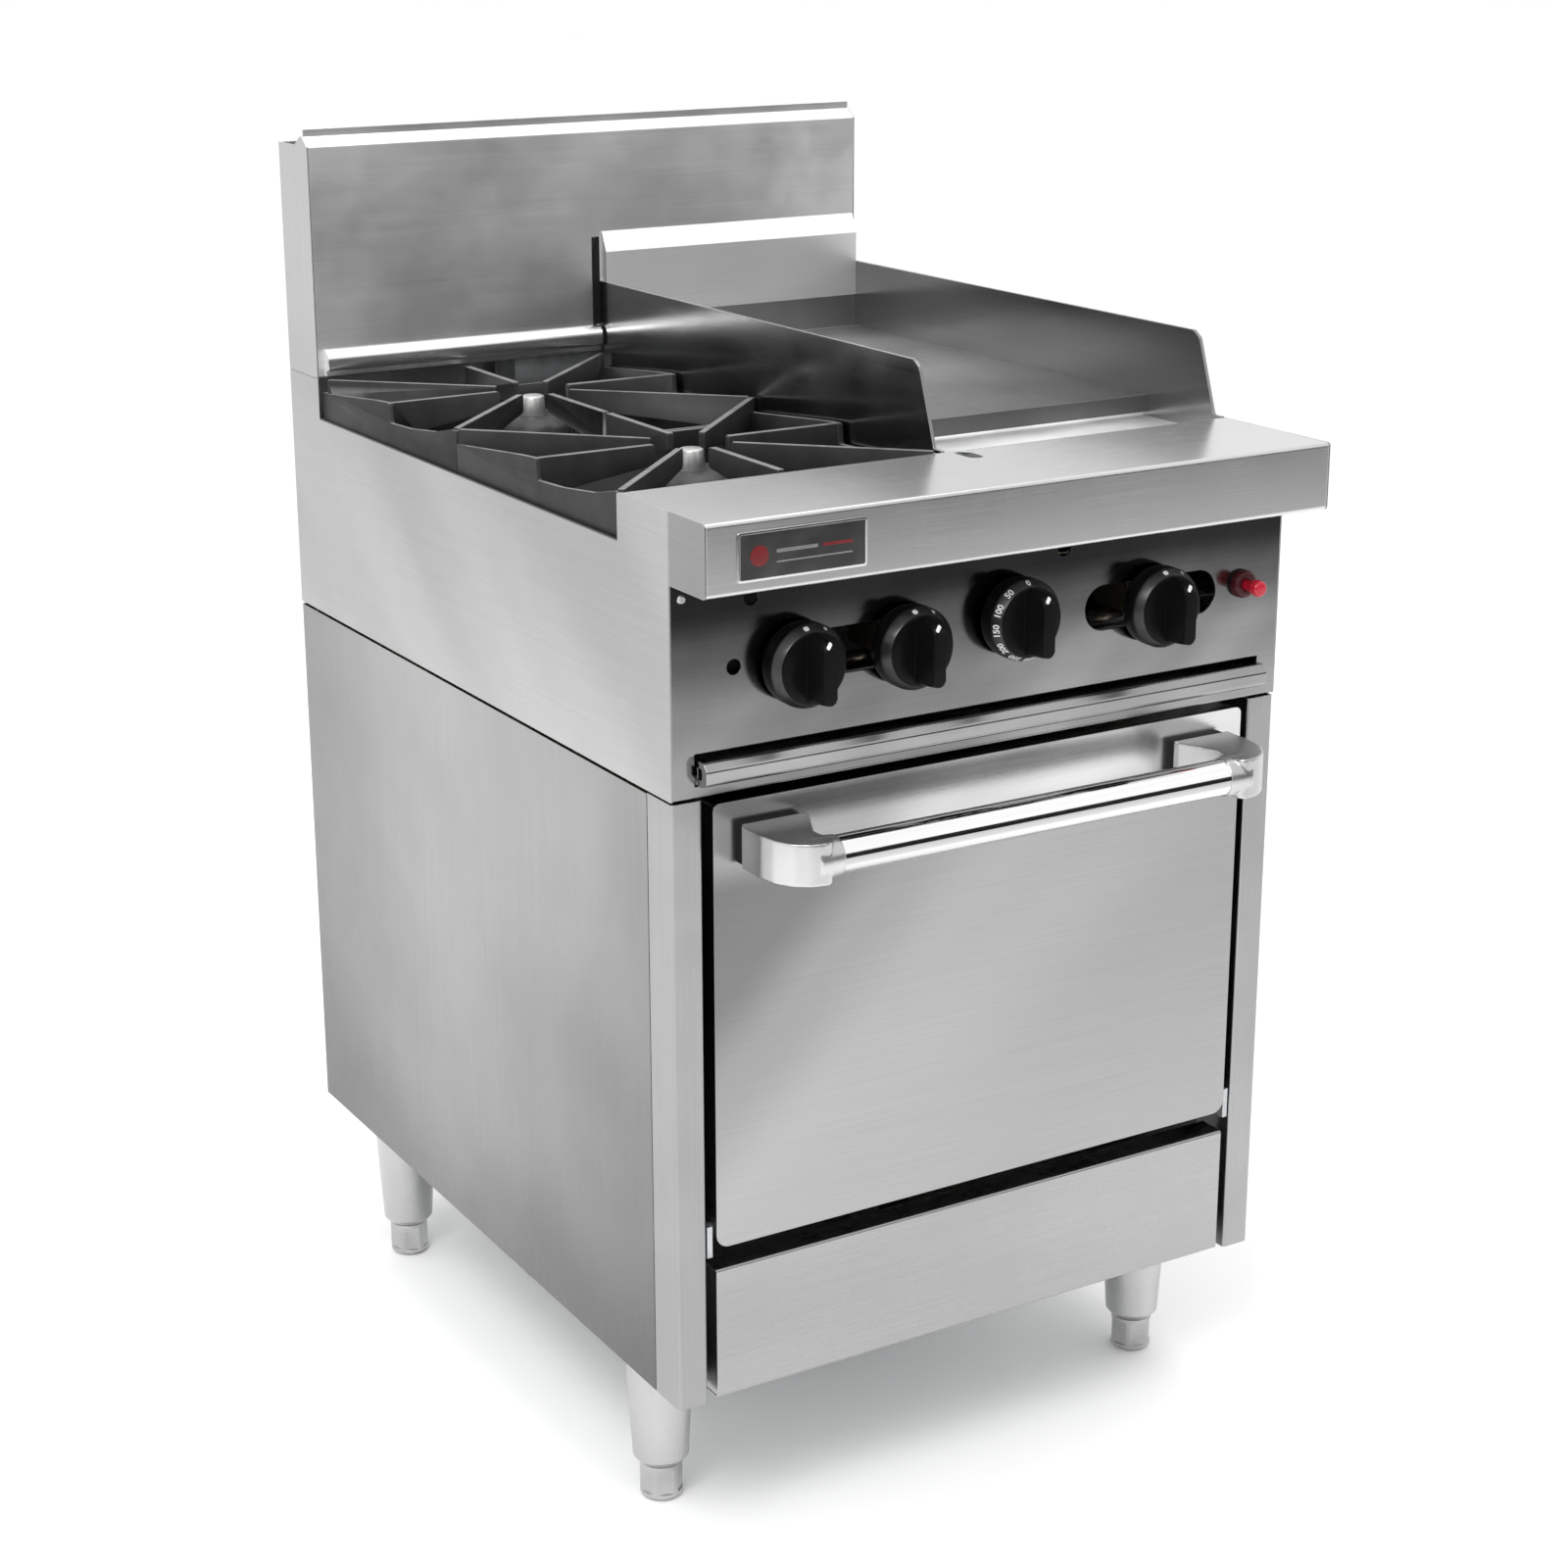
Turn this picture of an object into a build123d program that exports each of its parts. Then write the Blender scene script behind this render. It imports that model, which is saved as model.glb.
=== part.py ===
from build123d import *
import math
import os

os.makedirs("parts", exist_ok=True)

# ---------------------------------------------------------------- dimensions
# millimetres; X to the range's right, Y to its back, Z up; floor at Z = 0.
# While modelling, Y = 0 is the back face and the front is negative; every
# piece is shifted by Y_SHIFT at export so that the box centre is at X = Y = 0.
WIDTH = 610.0            # 24 inch module
HX = WIDTH / 2
T = 1.5                  # sheet thickness
LEG_TOP = 150.0          # underside of the body
SEAM_Z = 686.0           # joint between lower cabinet and hob box
NOTCH_Z = 881.0          # side panel under the grates
TOP_Z = 920.0            # top of the front rail
SPLASH_Z = 921.0         # foot of the splashback
SPLASH_TOP = 1140.0
SPLASH_Y = -71.0         # front face of the splashback
PANEL_Y = -768.0         # control panel face
RAIL_Y = -825.0          # front of the bullnose rail
RAIL_BACK = -685.0
RAIL_Z = 862.0           # underside of the rail
POST_IN = 277.0          # inner edge of the door posts
POST_RET = -728.0        # rear edge of the posts on the side
DOOR_HX = 268.0
DOOR_Z0, DOOR_Z1 = 291.0, 679.0
DOOR_Y = -769.0          # outer face of the door
DOOR_BACK = -728.0       # inner face of the door
FLANGE_Y = -722.5        # face of the oven front flange
HINGE_Y, HINGE_Z = -752.0, 303.0
PIN_R = 6.0
FIT = 0.06               # radial running clearance
OV_X = 220.0             # oven cavity, half width
OV_Z0, OV_Z1 = 318.0, 640.0
OV_BACK = -130.0
KICK_Z1 = 271.0
BAR_R = 15.9             # handle tube
BAR_Y, BAR_Z = -833.0, 643.0
KNOB_X = {1: -191.0, 2: -89.0, 3: 18.0, 4: 164.0}
KNOB_Z = {1: 786.5, 2: 786.5, 3: 795.5, 4: 786.5}
KNOB_BACK, KNOB_FACE, KNOB_NOSE = -772.0, -797.0, -822.0
STEM_R = 4.0
LEG_X, LEG_YF, LEG_YB = 262.0, -654.0, -104.0
GRATE_TOP = 921.0
RIM_Z = NOTCH_Z + T      # top of the well's rim, where the grates rest
BURNER_X = -152.0
BURNER_Y = {"rear": -227.0, "front": -532.0}
GUARD_T = 3.0
GR_X0, GR_X1 = 2.5, HX   # griddle, over the side guards
GR_TOP = 924.0
GR_FRONT = -576.0
TRAY_Z = 699.0
INLET_R = 13.2           # 3/4 inch taper thread, mean radius
INLET_X, INLET_Z, INLET_OUT = 232.0, 735.0, 24.0
DEPTH_FRONT = BAR_Y - 18.0
Y_SHIFT = -(DEPTH_FRONT + INLET_OUT) / 2

parts = {}


# ------------------------------------------------------------------- helpers
def box(x0, x1, y0, y1, z0, z1):
    x0, x1 = sorted((x0, x1))
    y0, y1 = sorted((y0, y1))
    z0, z1 = sorted((z0, z1))
    return Pos((x0 + x1) / 2, (y0 + y1) / 2, (z0 + z1) / 2) * Box(x1 - x0, y1 - y0, z1 - z0)


def rod(p, q, r, r2=None):
    """Cylinder or cone from p to q."""
    p, q = Vector(*p), Vector(*q)
    d = q - p
    pl = Plane(origin=p, z_dir=d.normalized())
    al = (Align.CENTER, Align.CENTER, Align.MIN)
    if r2 is None or abs(r2 - r) < 1e-9:
        return pl * Cylinder(r, d.length, align=al)
    return pl * Cone(r, r2, d.length, align=al)


def ball(p, r):
    return Pos(*p) * Sphere(r)


def tube_run(pts, r):
    """Round bar along a chain of straight runs with ball corners."""
    s = None
    for i in range(len(pts) - 1):
        c = rod(pts[i], pts[i + 1], r)
        s = c if s is None else s + c
        if i + 2 < len(pts):
            s = s + ball(pts[i + 1], r)
    return s


def bent(pts, r, bend):
    """Round tube with proper bends of centre-line radius bend."""
    path = FilletPolyline(*pts, radius=bend)
    return sweep(Plane(origin=path @ 0, z_dir=path % 0) * Circle(r), path=path)


def outline(pts, radii=0):
    """Closed face from 2-D points, each corner rounded by its radius."""
    n = len(pts)
    rr = radii if isinstance(radii, (list, tuple)) else [radii] * n
    cs = []
    for i in range(n):
        ax, ay = pts[i - 1]
        bx, by = pts[i]
        cx, cy = pts[(i + 1) % n]
        if rr[i] <= 0:
            cs.append(((bx, by), None, (bx, by)))
            continue
        u = (ax - bx, ay - by)
        v = (cx - bx, cy - by)
        lu, lv = math.hypot(*u), math.hypot(*v)
        u = (u[0] / lu, u[1] / lu)
        v = (v[0] / lv, v[1] / lv)
        dot = max(-1, min(1, u[0] * v[0] + u[1] * v[1]))
        ang = math.acos(dot)
        d = rr[i] / math.tan(ang / 2)
        b = (u[0] + v[0], u[1] + v[1])
        lb = math.hypot(*b)
        b = (b[0] / lb, b[1] / lb)
        h = rr[i] / math.sin(ang / 2)
        m = (bx + b[0] * (h - rr[i]), by + b[1] * (h - rr[i]))
        cs.append(((bx + u[0] * d, by + u[1] * d), m, (bx + v[0] * d, by + v[1] * d)))
    es = []
    for i in range(n):
        a, m, b = cs[i]
        if m is not None:
            es.append(ThreePointArc(a, m, b))
        nx = cs[(i + 1) % n][0]
        if math.hypot(nx[0] - b[0], nx[1] - b[1]) > 1e-6:
            es.append(Line(b, nx))
    return make_face(es)


def along_x(face, x0, x1):
    """Profile in (Y, Z), drawn out along X."""
    pl = Plane(origin=(x0, 0, 0), x_dir=(0, 1, 0), z_dir=(1, 0, 0))
    return extrude(pl * face, amount=x1 - x0)


def along_y(face, y0, y1):
    """Profile in (X, Z), drawn out towards the front from y0 to y1."""
    y0, y1 = max(y0, y1), min(y0, y1)
    pl = Plane(origin=(0, y0, 0), x_dir=(1, 0, 0), z_dir=(0, -1, 0))
    return extrude(pl * face, amount=y0 - y1)


def along_z(face, z0, z1):
    return extrude(Pos(0, 0, z0) * face, amount=z1 - z0)


def folded(pts, t, side=1, r=0.8):
    """Section of folded sheet: an open line of 2-D points, thickened by t to
    its left (side=1) or right (side=-1), bends with inner radius r."""
    n = len(pts)
    off = []
    nrm = []
    for i in range(n - 1):
        dx, dy = pts[i + 1][0] - pts[i][0], pts[i + 1][1] - pts[i][1]
        L = math.hypot(dx, dy)
        nrm.append((-dy / L * side, dx / L * side))
    for i in range(n):
        if i == 0:
            m = nrm[0]
            k = 1
        elif i == n - 1:
            m = nrm[-1]
            k = 1
        else:
            m = (nrm[i - 1][0] + nrm[i][0], nrm[i - 1][1] + nrm[i][1])
            L = math.hypot(*m)
            m = (m[0] / L, m[1] / L)
            k = 1 / (m[0] * nrm[i][0] + m[1] * nrm[i][1])
        off.append((pts[i][0] + m[0] * t * k, pts[i][1] + m[1] * t * k))
    ra, rb = [], []
    for i in range(n):
        if i in (0, n - 1):
            ra.append(0)
            rb.append(0)
            continue
        cr = nrm[i - 1][0] * nrm[i][1] - nrm[i - 1][1] * nrm[i][0]
        if cr * side > 0:
            ra.append(r + t)
            rb.append(r)
        else:
            ra.append(r)
            rb.append(r + t)
    return outline(list(pts) + off[::-1], ra + rb[::-1])


def slot_xz(x0, x1, zc, h, y0, y1):
    """Obround opening in the panel: along X, centre height zc, height h."""
    r = h / 2
    s = box(x0 + r, x1 - r, y0, y1, zc - r, zc + r)
    return s + rod((x0 + r, y0, zc), (x0 + r, y1, zc), r) + rod((x1 - r, y0, zc), (x1 - r, y1, zc), r)


def put(name, *solids):
    """Store a piece; several arguments are separate solids in one node."""
    moved = [Pos(0, Y_SHIFT, 0) * s for s in solids]
    out = []
    for m in moved:
        out += list(m.solids())
    parts[name] = out


def mirror_x(s):
    return mirror(s, about=Plane.YZ)


# ------------------------------------------------------------- lower cabinet
side = along_z(folded([(-HX, POST_RET + 1.5), (-HX, 0), (-290, 0)], T, side=-1, r=0.7),
               LEG_TOP, SEAM_Z - 3)
put("side_panels_lower", side, mirror_x(side))

back = box(-289.5, 289.5, -T, 0, LEG_TOP, SEAM_Z - 3) + box(-303.5, 303.5, -T, 0, SEAM_Z - 2, SPLASH_Z - 0.5) \
    + box(-289.5, 289.5, -T, 0, SEAM_Z - 4, SEAM_Z)
back = back - rod((INLET_X, 1, INLET_Z), (INLET_X, -3, INLET_Z), 16)
for i in range(7):
    back = back - box(-120, 120, 1, -3, 215 + i * 14, 219 + i * 14)
put("back_panel", back)

base = box(-303.4, 303.4, FLANGE_Y + 0.5, -3, LEG_TOP, LEG_TOP + T)
base = base - box(-120, 120, -520, -260, LEG_TOP - 1, LEG_TOP + 5)
put("base_panel", base)

post = along_z(folded([(-HX, POST_RET), (-HX, PANEL_Y), (-POST_IN, PANEL_Y), (-POST_IN, FLANGE_Y - 0.05)],
                      T, side=1, r=1.5), LEG_TOP, SEAM_Z - 2)
put("door_posts", post, mirror_x(post))

kick = along_x(folded([(-700, LEG_TOP + T + 0.05), (PANEL_Y, LEG_TOP + T + 0.05), (PANEL_Y, KICK_Z1), (-742, KICK_Z1)],
                      T, side=-1, r=1.0), -DOOR_HX, DOOR_HX)
kick = kick - box(-HX, HX, -726.6, -690, LEG_TOP - 1, LEG_TOP + T + 0.1)
kick = kick + box(-DOOR_HX, -DOOR_HX + T, PANEL_Y + 1, -742, LEG_TOP + 4, KICK_Z1 - 3) \
    + box(DOOR_HX - T, DOOR_HX, PANEL_Y + 1, -742, LEG_TOP + 4, KICK_Z1 - 3)
put("kick_panel", kick)

leg0 = rod((0, 0, LEG_TOP), (0, 0, 42), 31, 25) + rod((0, 0, 42), (0, 0, 37), 25, 21)
leg0 = leg0 - rod((0, 0, 36), (0, 0, 118), PIN_R + FIT)
legs = [Pos(sx * LEG_X, y, 0) * leg0 for y in (LEG_YF, LEG_YB) for sx in (-1, 1)]
put("legs", *legs)

foot0 = rod((0, 0, 0), (0, 0, 4), 15, 19) + rod((0, 0, 4), (0, 0, 34.5), 19) + rod((0, 0, 34.5), (0, 0, 36.8), 19, 16)
for k in range(3):
    c, s_ = math.cos(math.radians(60 * k + 15)), math.sin(math.radians(60 * k + 15))
    for sg in (-1, 1):
        cut = Rotation(0, 0, 60 * k + 15) * box(sg * 17.4, sg * 25, -20, 20, 7, 31)
        foot0 = foot0 - cut
foot0 = foot0 + rod((0, 0, 30), (0, 0, 92), PIN_R)
for nm, sx, y in (("foot_front_left", -1, LEG_YF), ("foot_front_right", 1, LEG_YF),
                  ("foot_rear_left", -1, LEG_YB), ("foot_rear_right", 1, LEG_YB)):
    put(nm, Pos(sx * LEG_X, y, 0) * foot0)

# ------------------------------------------------------------------ hob box
RP = [(0, SEAM_Z), (PANEL_Y, SEAM_Z), (PANEL_Y, RAIL_Z), (RAIL_Y, RAIL_Z), (RAIL_Y, TOP_Z), (RAIL_BACK, TOP_Z),
      (RAIL_BACK, NOTCH_Z), (SPLASH_Y, NOTCH_Z), (SPLASH_Y, SPLASH_Z - 0.5), (0, SPLASH_Z - 0.5)]
hs = along_x(outline(RP, [0, 1.5, 0, 3, 3, 1.5, 0, 0, 0, 0]), -HX, -HX + T)
hs = hs + box(-HX + T - 0.01, -270, -748, -90, TRAY_Z - T, TRAY_Z) \
    + box(-284.5, -283, -748, -90, TRAY_Z, TRAY_Z + 5)
put("hob_side_panels", hs, mirror_x(hs))

rail = along_x(folded([(RAIL_BACK, NOTCH_Z + T + 0.05), (RAIL_BACK, TOP_Z), (RAIL_Y, TOP_Z), (RAIL_Y, RAIL_Z), (-752, RAIL_Z)],
                      T, side=1, r=1.8), -HX + T, HX - T)
dr = Pos(16, -706, 0) * (box(-7, 7, -8, 8, 905, 930) + rod((0, -8, 905), (0, -8, 930), 7) + rod((0, 8, 905), (0, 8, 930), 7))
rail = rail - dr
put("front_rail", rail)

cp = along_x(folded([(-745, SEAM_Z), (PANEL_Y, SEAM_Z), (PANEL_Y, RAIL_Z - 0.05)], T, side=-1, r=1.0), -HX + T, HX - T)
YA, YB = PANEL_Y - 2, PANEL_Y + 4
cp = cp - box(-284, 284, YA, YB, 696, 723)
cp = cp - slot_xz(-210, -70, 789, 39.5, YA, YB) - slot_xz(94, 234, 789, 39.5, YA, YB)
cp = cp - rod((KNOB_X[3], YA, KNOB_Z[3]), (KNOB_X[3], YB, KNOB_Z[3]), 9)
cp = cp - rod((-247.5, YA, 789.2), (-247.5, YB, 789.2), 6.5)
cp = cp - rod((-231.6, YA, 843), (-231.6, YB, 843), 6.5) - rod((71, YA, 845), (71, YB, 845), 6.5)
cp = cp - rod((262.5, YA, 791), (262.5, YB, 791), 7.5)
put("control_panel", cp)

put("nameplate", along_y(outline([(-277, 871.8), (-161.5, 871.8), (-161.5, 910.7), (-277, 910.7)], 2.0), RAIL_Y, RAIL_Y - 1.5))

shell_side = along_x(outline([(0, SPLASH_Z), (SPLASH_Y, SPLASH_Z), (SPLASH_Y, SPLASH_TOP), (-59.5, 1148.5), (-54, 1148.5), (-40, SPLASH_TOP), (0, SPLASH_TOP)]), -HX, -HX + T)
shell = shell_side + mirror_x(shell_side) + box(-HX + T - 0.01, HX - T + 0.01, -T, 0, SPLASH_Z, SPLASH_TOP)
put("splashback_shell", shell)
face = along_x(folded([(-64, SPLASH_Z), (SPLASH_Y, SPLASH_Z), (SPLASH_Y, SPLASH_TOP), (-59.5, 1148.5), (-59.5, 1155.5)],
                      T, side=-1, r=0.6), -HX + T, HX - T)
face = face - box(-6.0, -0.5, SPLASH_Y - 2, SPLASH_Y + 4, 937, 1036)
put("splashback_face", face)
strip = along_x(outline([(SPLASH_Y, 948), (-80, 939), (-80.5, 929), (-74, 927.5), (-74, 922.5), (SPLASH_Y, 922.5)], [0, 2, 1.5, 0, 0, 0]), -296.8, 0)
put("splash_base_strip", strip)

# --------------------------------------------------------- hob well, burners
WX0, WX1, WY0, WY1, WZ = -290.0, -8.0, -672.0, -84.0, 846.0
well = box(-HX, GR_X0 - 0.05, RAIL_BACK + 0.05, SPLASH_Y - 0.05, NOTCH_Z, RIM_Z) - box(WX0 + T, WX1 - T, WY0 + T, WY1 - T, NOTCH_Z - 1, RIM_Z + 1)
well = well + (box(WX0, WX1, WY0, WY1, WZ, NOTCH_Z + 0.5) - box(WX0 + T, WX1 - T, WY0 + T, WY1 - T, WZ + T, NOTCH_Z + 2))
for y in BURNER_Y.values():
    well = well - rod((BURNER_X, y, WZ - 2), (BURNER_X, y, WZ + 4), 23)
put("hob_well", well)

bodies, heads = [], []
for key, y in BURNER_Y.items():
    xo = KNOB_X[1] - BURNER_X if key == "rear" else KNOB_X[2] - BURNER_X
    b = rod((BURNER_X, y, WZ + T), (BURNER_X, y, 858), 46, 46) + rod((BURNER_X, y, 858), (BURNER_X, y, 876), 40, 46)
    b = b + rod((BURNER_X, y, 800), (BURNER_X, y, WZ + T + 1), 21)
    b = b + tube_run([(BURNER_X, y, 802), (BURNER_X + xo, y - 40, 802), (BURNER_X + xo, -690, 800)], 13)
    b = b + rod((BURNER_X + xo, -676, 800), (BURNER_X + xo, -698, 800), 13, 18)
    b = b - rod((BURNER_X + xo, -699, 800), (BURNER_X + xo, -690, 800), 12)
    b = b - rod((BURNER_X, y, 868), (BURNER_X, y, 877), 30)
    bodies.append(b)
    h = rod((BURNER_X, y, 876), (BURNER_X, y, 889), 44, 42) + rod((BURNER_X, y, 889), (BURNER_X, y, 896), 42, 30)
    h = h + rod((BURNER_X, y, 894), (BURNER_X, y, 914), 12.5, 11)
    h = h + rod((BURNER_X, y, 868.5), (BURNER_X, y, 877), 29.9)
    for k in range(18):
        a = math.radians(20 * k + 5)
        h = h - rod((BURNER_X + 36 * math.cos(a), y + 36 * math.sin(a), 882), (BURNER_X + 46 * math.cos(a), y + 46 * math.sin(a), 882), 1.6)
    heads.append(h)
put("burner_bodies", *bodies)
put("burner_heads", *heads)


def grate(y_back, y_front, yc, lug):
    """Square pot support: frame, four corner ribs, four middle ribs."""
    x0, x1 = -301.5, -1.0
    t = 5.0
    zb = RIM_Z
    ym = (y_back + y_front) / 2
    g = box(x0, x1, y_back, y_back - t, zb, 898) + box(x0, x1, y_front, y_front + t, zb, 898)

    def wall(yr, z_rear):
        """Side wall: rises from its rear end to the middle, then a shallow dip towards the front."""
        return outline([(y_front, zb), (yr, zb), (yr, z_rear), (y_back - 8, z_rear), (ym + 30, GRATE_TOP - 2), (ym + 4, GRATE_TOP),
                        (ym - 4, GRATE_TOP), (ym - 6, 903), (ym - 50, 905), (y_front + 45, 911), (y_front + 8, 919), (y_front, 919)],
                       [0, 0, 1.5, 0, 30, 0, 2, 3, 40, 40, 3, 1])

    g = g + along_x(wall(lug if lug is not None else y_back, 908.0), x0, x0 + t - 1) + along_x(wall(y_back, 908.0), x1 - t, x1)
    ri = 36.0

    def rib(px, py, w):
        """Upright web from the frame point to the ring round the centre."""
        dx, dy = px - BURNER_X, py - yc
        L = math.hypot(dx, dy)
        prof = outline([(ri, GRATE_TOP - 17), (ri, GRATE_TOP), (L, GRATE_TOP), (L, zb), (L - 12, zb), (L - 26, 892)],
                       [4, 2, 0, 0, 0, 8])
        pl = Plane(origin=(BURNER_X, yc, 0), x_dir=(dx / L, dy / L, 0), z_dir=Vector(dx / L, dy / L, 0).cross(Vector(0, 0, 1)))
        s = extrude(pl * prof, amount=w / 2) + extrude(pl * prof, amount=-w / 2)
        return s

    yb_, yf_ = y_back - 2, y_front + 2
    for px, py in ((x0 + 2.5, ym), (x1 - 2.5, ym), (BURNER_X, yb_), (BURNER_X, yf_)):
        g = g + rib(px, py, 6.4)
    for px, py in ((x0 + 2.5, yb_), (x1 - 2.5, yb_), (x0 + 2.5, yf_), (x1 - 2.5, yf_)):
        g = g + rib(px, py, 5.6)
    return g


put("grate_rear", grate(-81.5, -377.5, BURNER_Y["rear"], -74.0))
put("grate_front", grate(-379.5, -683.5, BURNER_Y["front"], None))

# ------------------------------------------------------------------ griddle
gp = [(SPLASH_Y - 0.5, NOTCH_Z), (SPLASH_Y - 0.5, 992), (-641, 992), (-650, 986), (-673, TOP_Z + 0.5), (RAIL_BACK + 0.05, TOP_Z + 0.5), (RAIL_BACK + 0.05, NOTCH_Z)]
gl = along_x(outline(gp, [0, 0, 6, 6, 3, 0, 0]), GR_X0, GR_X0 + GUARD_T)
gr_ = along_x(outline(gp, [0, 0, 6, 6, 3, 0, 0]), GR_X1 - GUARD_T, GR_X1)
put("griddle_side_guards", gl, gr_)
GX0, GX1 = GR_X0 + GUARD_T, GR_X1 - GUARD_T
plate = box(GX0, GX1, GR_FRONT, -76, GR_TOP - 16, GR_TOP)
plate = plate + box(GX0, GX1, -79, -76, GR_TOP - 1, 960)
put("griddle_plate", plate)
bg = along_x(folded([(-72.6, 1041), (-80.6, 1022), (-80.6, 957)], T, side=1, r=1.0), GX0, GX1)
bg = bg + along_x(outline([(-71.3, 1040.3), (-72.4, 1040.9), (-80.6, 1022), (-80.6, 957), (-79.1, 957), (-79.1, 961), (-71.3, 961)], 0), GX0, GX0 + 1.5)
put("griddle_back_guard", bg)

trough = along_x(outline([(-572, 907.9), (-573.5, 907.9), (-573.5, 905), (-683.4, 905), (-683.4, 919), (-684.9, 919), (-684.9, 903.5), (-572, 903.5)],
                         [0, 0, 0, 1.5, 0, 0, 2, 0]), GX0 + 0.05, GX1 - 0.05)
for i in range(7):
    xc = 32 + i * 38
    trough = trough - box(xc - 9, xc + 9, -662, -656, 900, 907)
    trough = trough - box(xc + 10, xc + 28, -636, -631, 900, 907) if i < 6 else trough
put("grease_trough", trough)

chute = along_x(outline([(-689.5, 726), (-714, 726), (-714, 865), (-724, 885), (-724, TOP_Z - T), (-689.5, TOP_Z - T)], 0), 7.5, 24.5) \
    - along_x(outline([(-691, 720), (-712.5, 720), (-712.5, 865.5), (-722.5, 885.5), (-722.5, TOP_Z), (-691, TOP_Z)], 0), 9, 23)
put("grease_chute", chute)

gb = box(110, 134, -545, -150, 858, 878) + box(196, 220, -545, -150, 858, 878) + box(110, 220, -360, -330, 858, 878)
gb = gb + tube_run([(KNOB_X[4], -345, 862), (KNOB_X[4], -345, 800), (KNOB_X[4], -690, 800)], 13)
for xx in (122, 208):
    gb = gb + box(xx - 10, xx + 10, -150, -76.5, 862, 866) + box(xx - 10, xx + 10, -575, -545, 862, 866)
    gb = gb + box(xx - 10, xx + 10, -575, -571, 862, 903.4)
    for i in range(8):
        y = -180 - i * 48
        if -372 < y < -318:
            continue
        gb = gb - rod((xx - 14, y, 872), (xx + 14, y, 872), 2.2)
gb = gb + rod((KNOB_X[4], -676, 800), (KNOB_X[4], -698, 800), 13, 18) - rod((KNOB_X[4], -699, 800), (KNOB_X[4], -690, 800), 12)
put("griddle_burner", gb)

# ---------------------------------------------------------- gas train, knobs
MAN_Y, MAN_Z, MAN_R = -728.0, 764.0, 10.7
man = bent([(-275, MAN_Y, MAN_Z), (290, MAN_Y, MAN_Z), (290, -60, MAN_Z), (INLET_X, -60, INLET_Z), (INLET_X, -22, INLET_Z)], MAN_R, 20)
man = man + rod((INLET_X, -28, INLET_Z), (INLET_X, 0, INLET_Z), INLET_R + 1.6) + rod((INLET_X, -1, INLET_Z), (INLET_X, INLET_OUT, INLET_Z), INLET_R)
man = man - rod((INLET_X, INLET_OUT + 1, INLET_Z), (INLET_X, -18, INLET_Z), 9.5)
for k in (1, 2, 4):
    man = man + rod((KNOB_X[k], MAN_Y, MAN_Z), (KNOB_X[k], MAN_Y, MAN_Z + 12), 7)
man = man + rod((KNOB_X[3], MAN_Y, MAN_Z), (KNOB_X[3], MAN_Y, MAN_Z + 14), 7)
put("gas_manifold", man)

STEM_IN = -722.0         # inner end of each stem
taps = []
for k in (1, 2, 4):
    x, z = KNOB_X[k], KNOB_Z[k]
    b = box(x - 13, x + 13, -752, -706, MAN_Z + 12, z + 19.5) + rod((x, -752, z), (x, -758, z), 11)
    b = b + rod((x, -707, 800), (x, -694, 800), 4.5)
    b = b - rod((x, -760, z), (x, STEM_IN + 2.5, z), 6.5 + FIT)
    taps.append(b)
put("tap_bodies", *taps)
x, z = KNOB_X[3], KNOB_Z[3]
th = box(x - 22, x + 22, -756, -722.5, MAN_Z + 14, z + 35.5) + rod((x, -756, z), (x, -761, z), 12)
th = th - rod((x, -762, z), (x, STEM_IN - 8, z), 6.5 + FIT)
th = th + bent([(x - 15, -726, 828), (x - 15, -700, 828), (-276, -700, 828), (-276, -80, 828), (-276, -80, 610), (-150, -80, 610), (-150, -143, 610)], 1.5, 12)
th = th + rod((-200, -143, 610), (-108, -143, 610), 4.0)
put("oven_thermostat", th)

for k in (1, 2, 3, 4):
    x, z = KNOB_X[k], KNOB_Z[k]
    y_in = STEM_IN + 2 if k != 3 else STEM_IN - 8.5
    st = rod((x, y_in, z), (x, -757.0, z), 6.5) + rod((x, -756.5, z), (x, -795, z), STEM_R)
    st = st - box(x - 6, x + 6, -773, -796, z + 2.6, z + 6)
    put(f"tap_stem_{k}", st)
    # knob: skirt, drum, grip bar across the face; blind D bore with slack
    kn = rod((x, KNOB_BACK, z), (x, -776, z), 33.2, 34.7) + rod((x, -776, z), (x, -789, z), 34.7) \
        + rod((x, -789, z), (x, -796, z), 34.7, 30.2) + rod((x, -796, z), (x, KNOB_FACE, z), 30.2, 29.4)
    grip = along_y(outline([(x - 7.5, z - 28), (x + 7.5, z - 28), (x + 6.2, z + 29), (x - 6.2, z + 29)], [5, 5, 4, 4]), -790, KNOB_NOSE)
    trim = along_x(outline([(-780, z - 31), (KNOB_FACE, z - 28), (KNOB_NOSE, z - 25.2), (KNOB_NOSE, z + 21.5), (-816, z + 26.5), (KNOB_FACE, z + 28.5), (-780, z + 31)],
                           [0, 0, 4, 3, 3, 0, 0]), x - 12, x + 12)
    kn = kn + (grip & trim)
    bore = rod((x, KNOB_BACK + 1, z), (x, -800, z), STEM_R + FIT)
    bore = bore - box(x - 6, x + 6, KNOB_BACK - 5.5, -801, z + 2.6 + FIT, z + 6)
    kn = kn - bore - rod((x, KNOB_BACK + 1, z), (x, KNOB_BACK - 6.0, z), 10)
    put(f"knob_{k}", kn)

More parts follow.
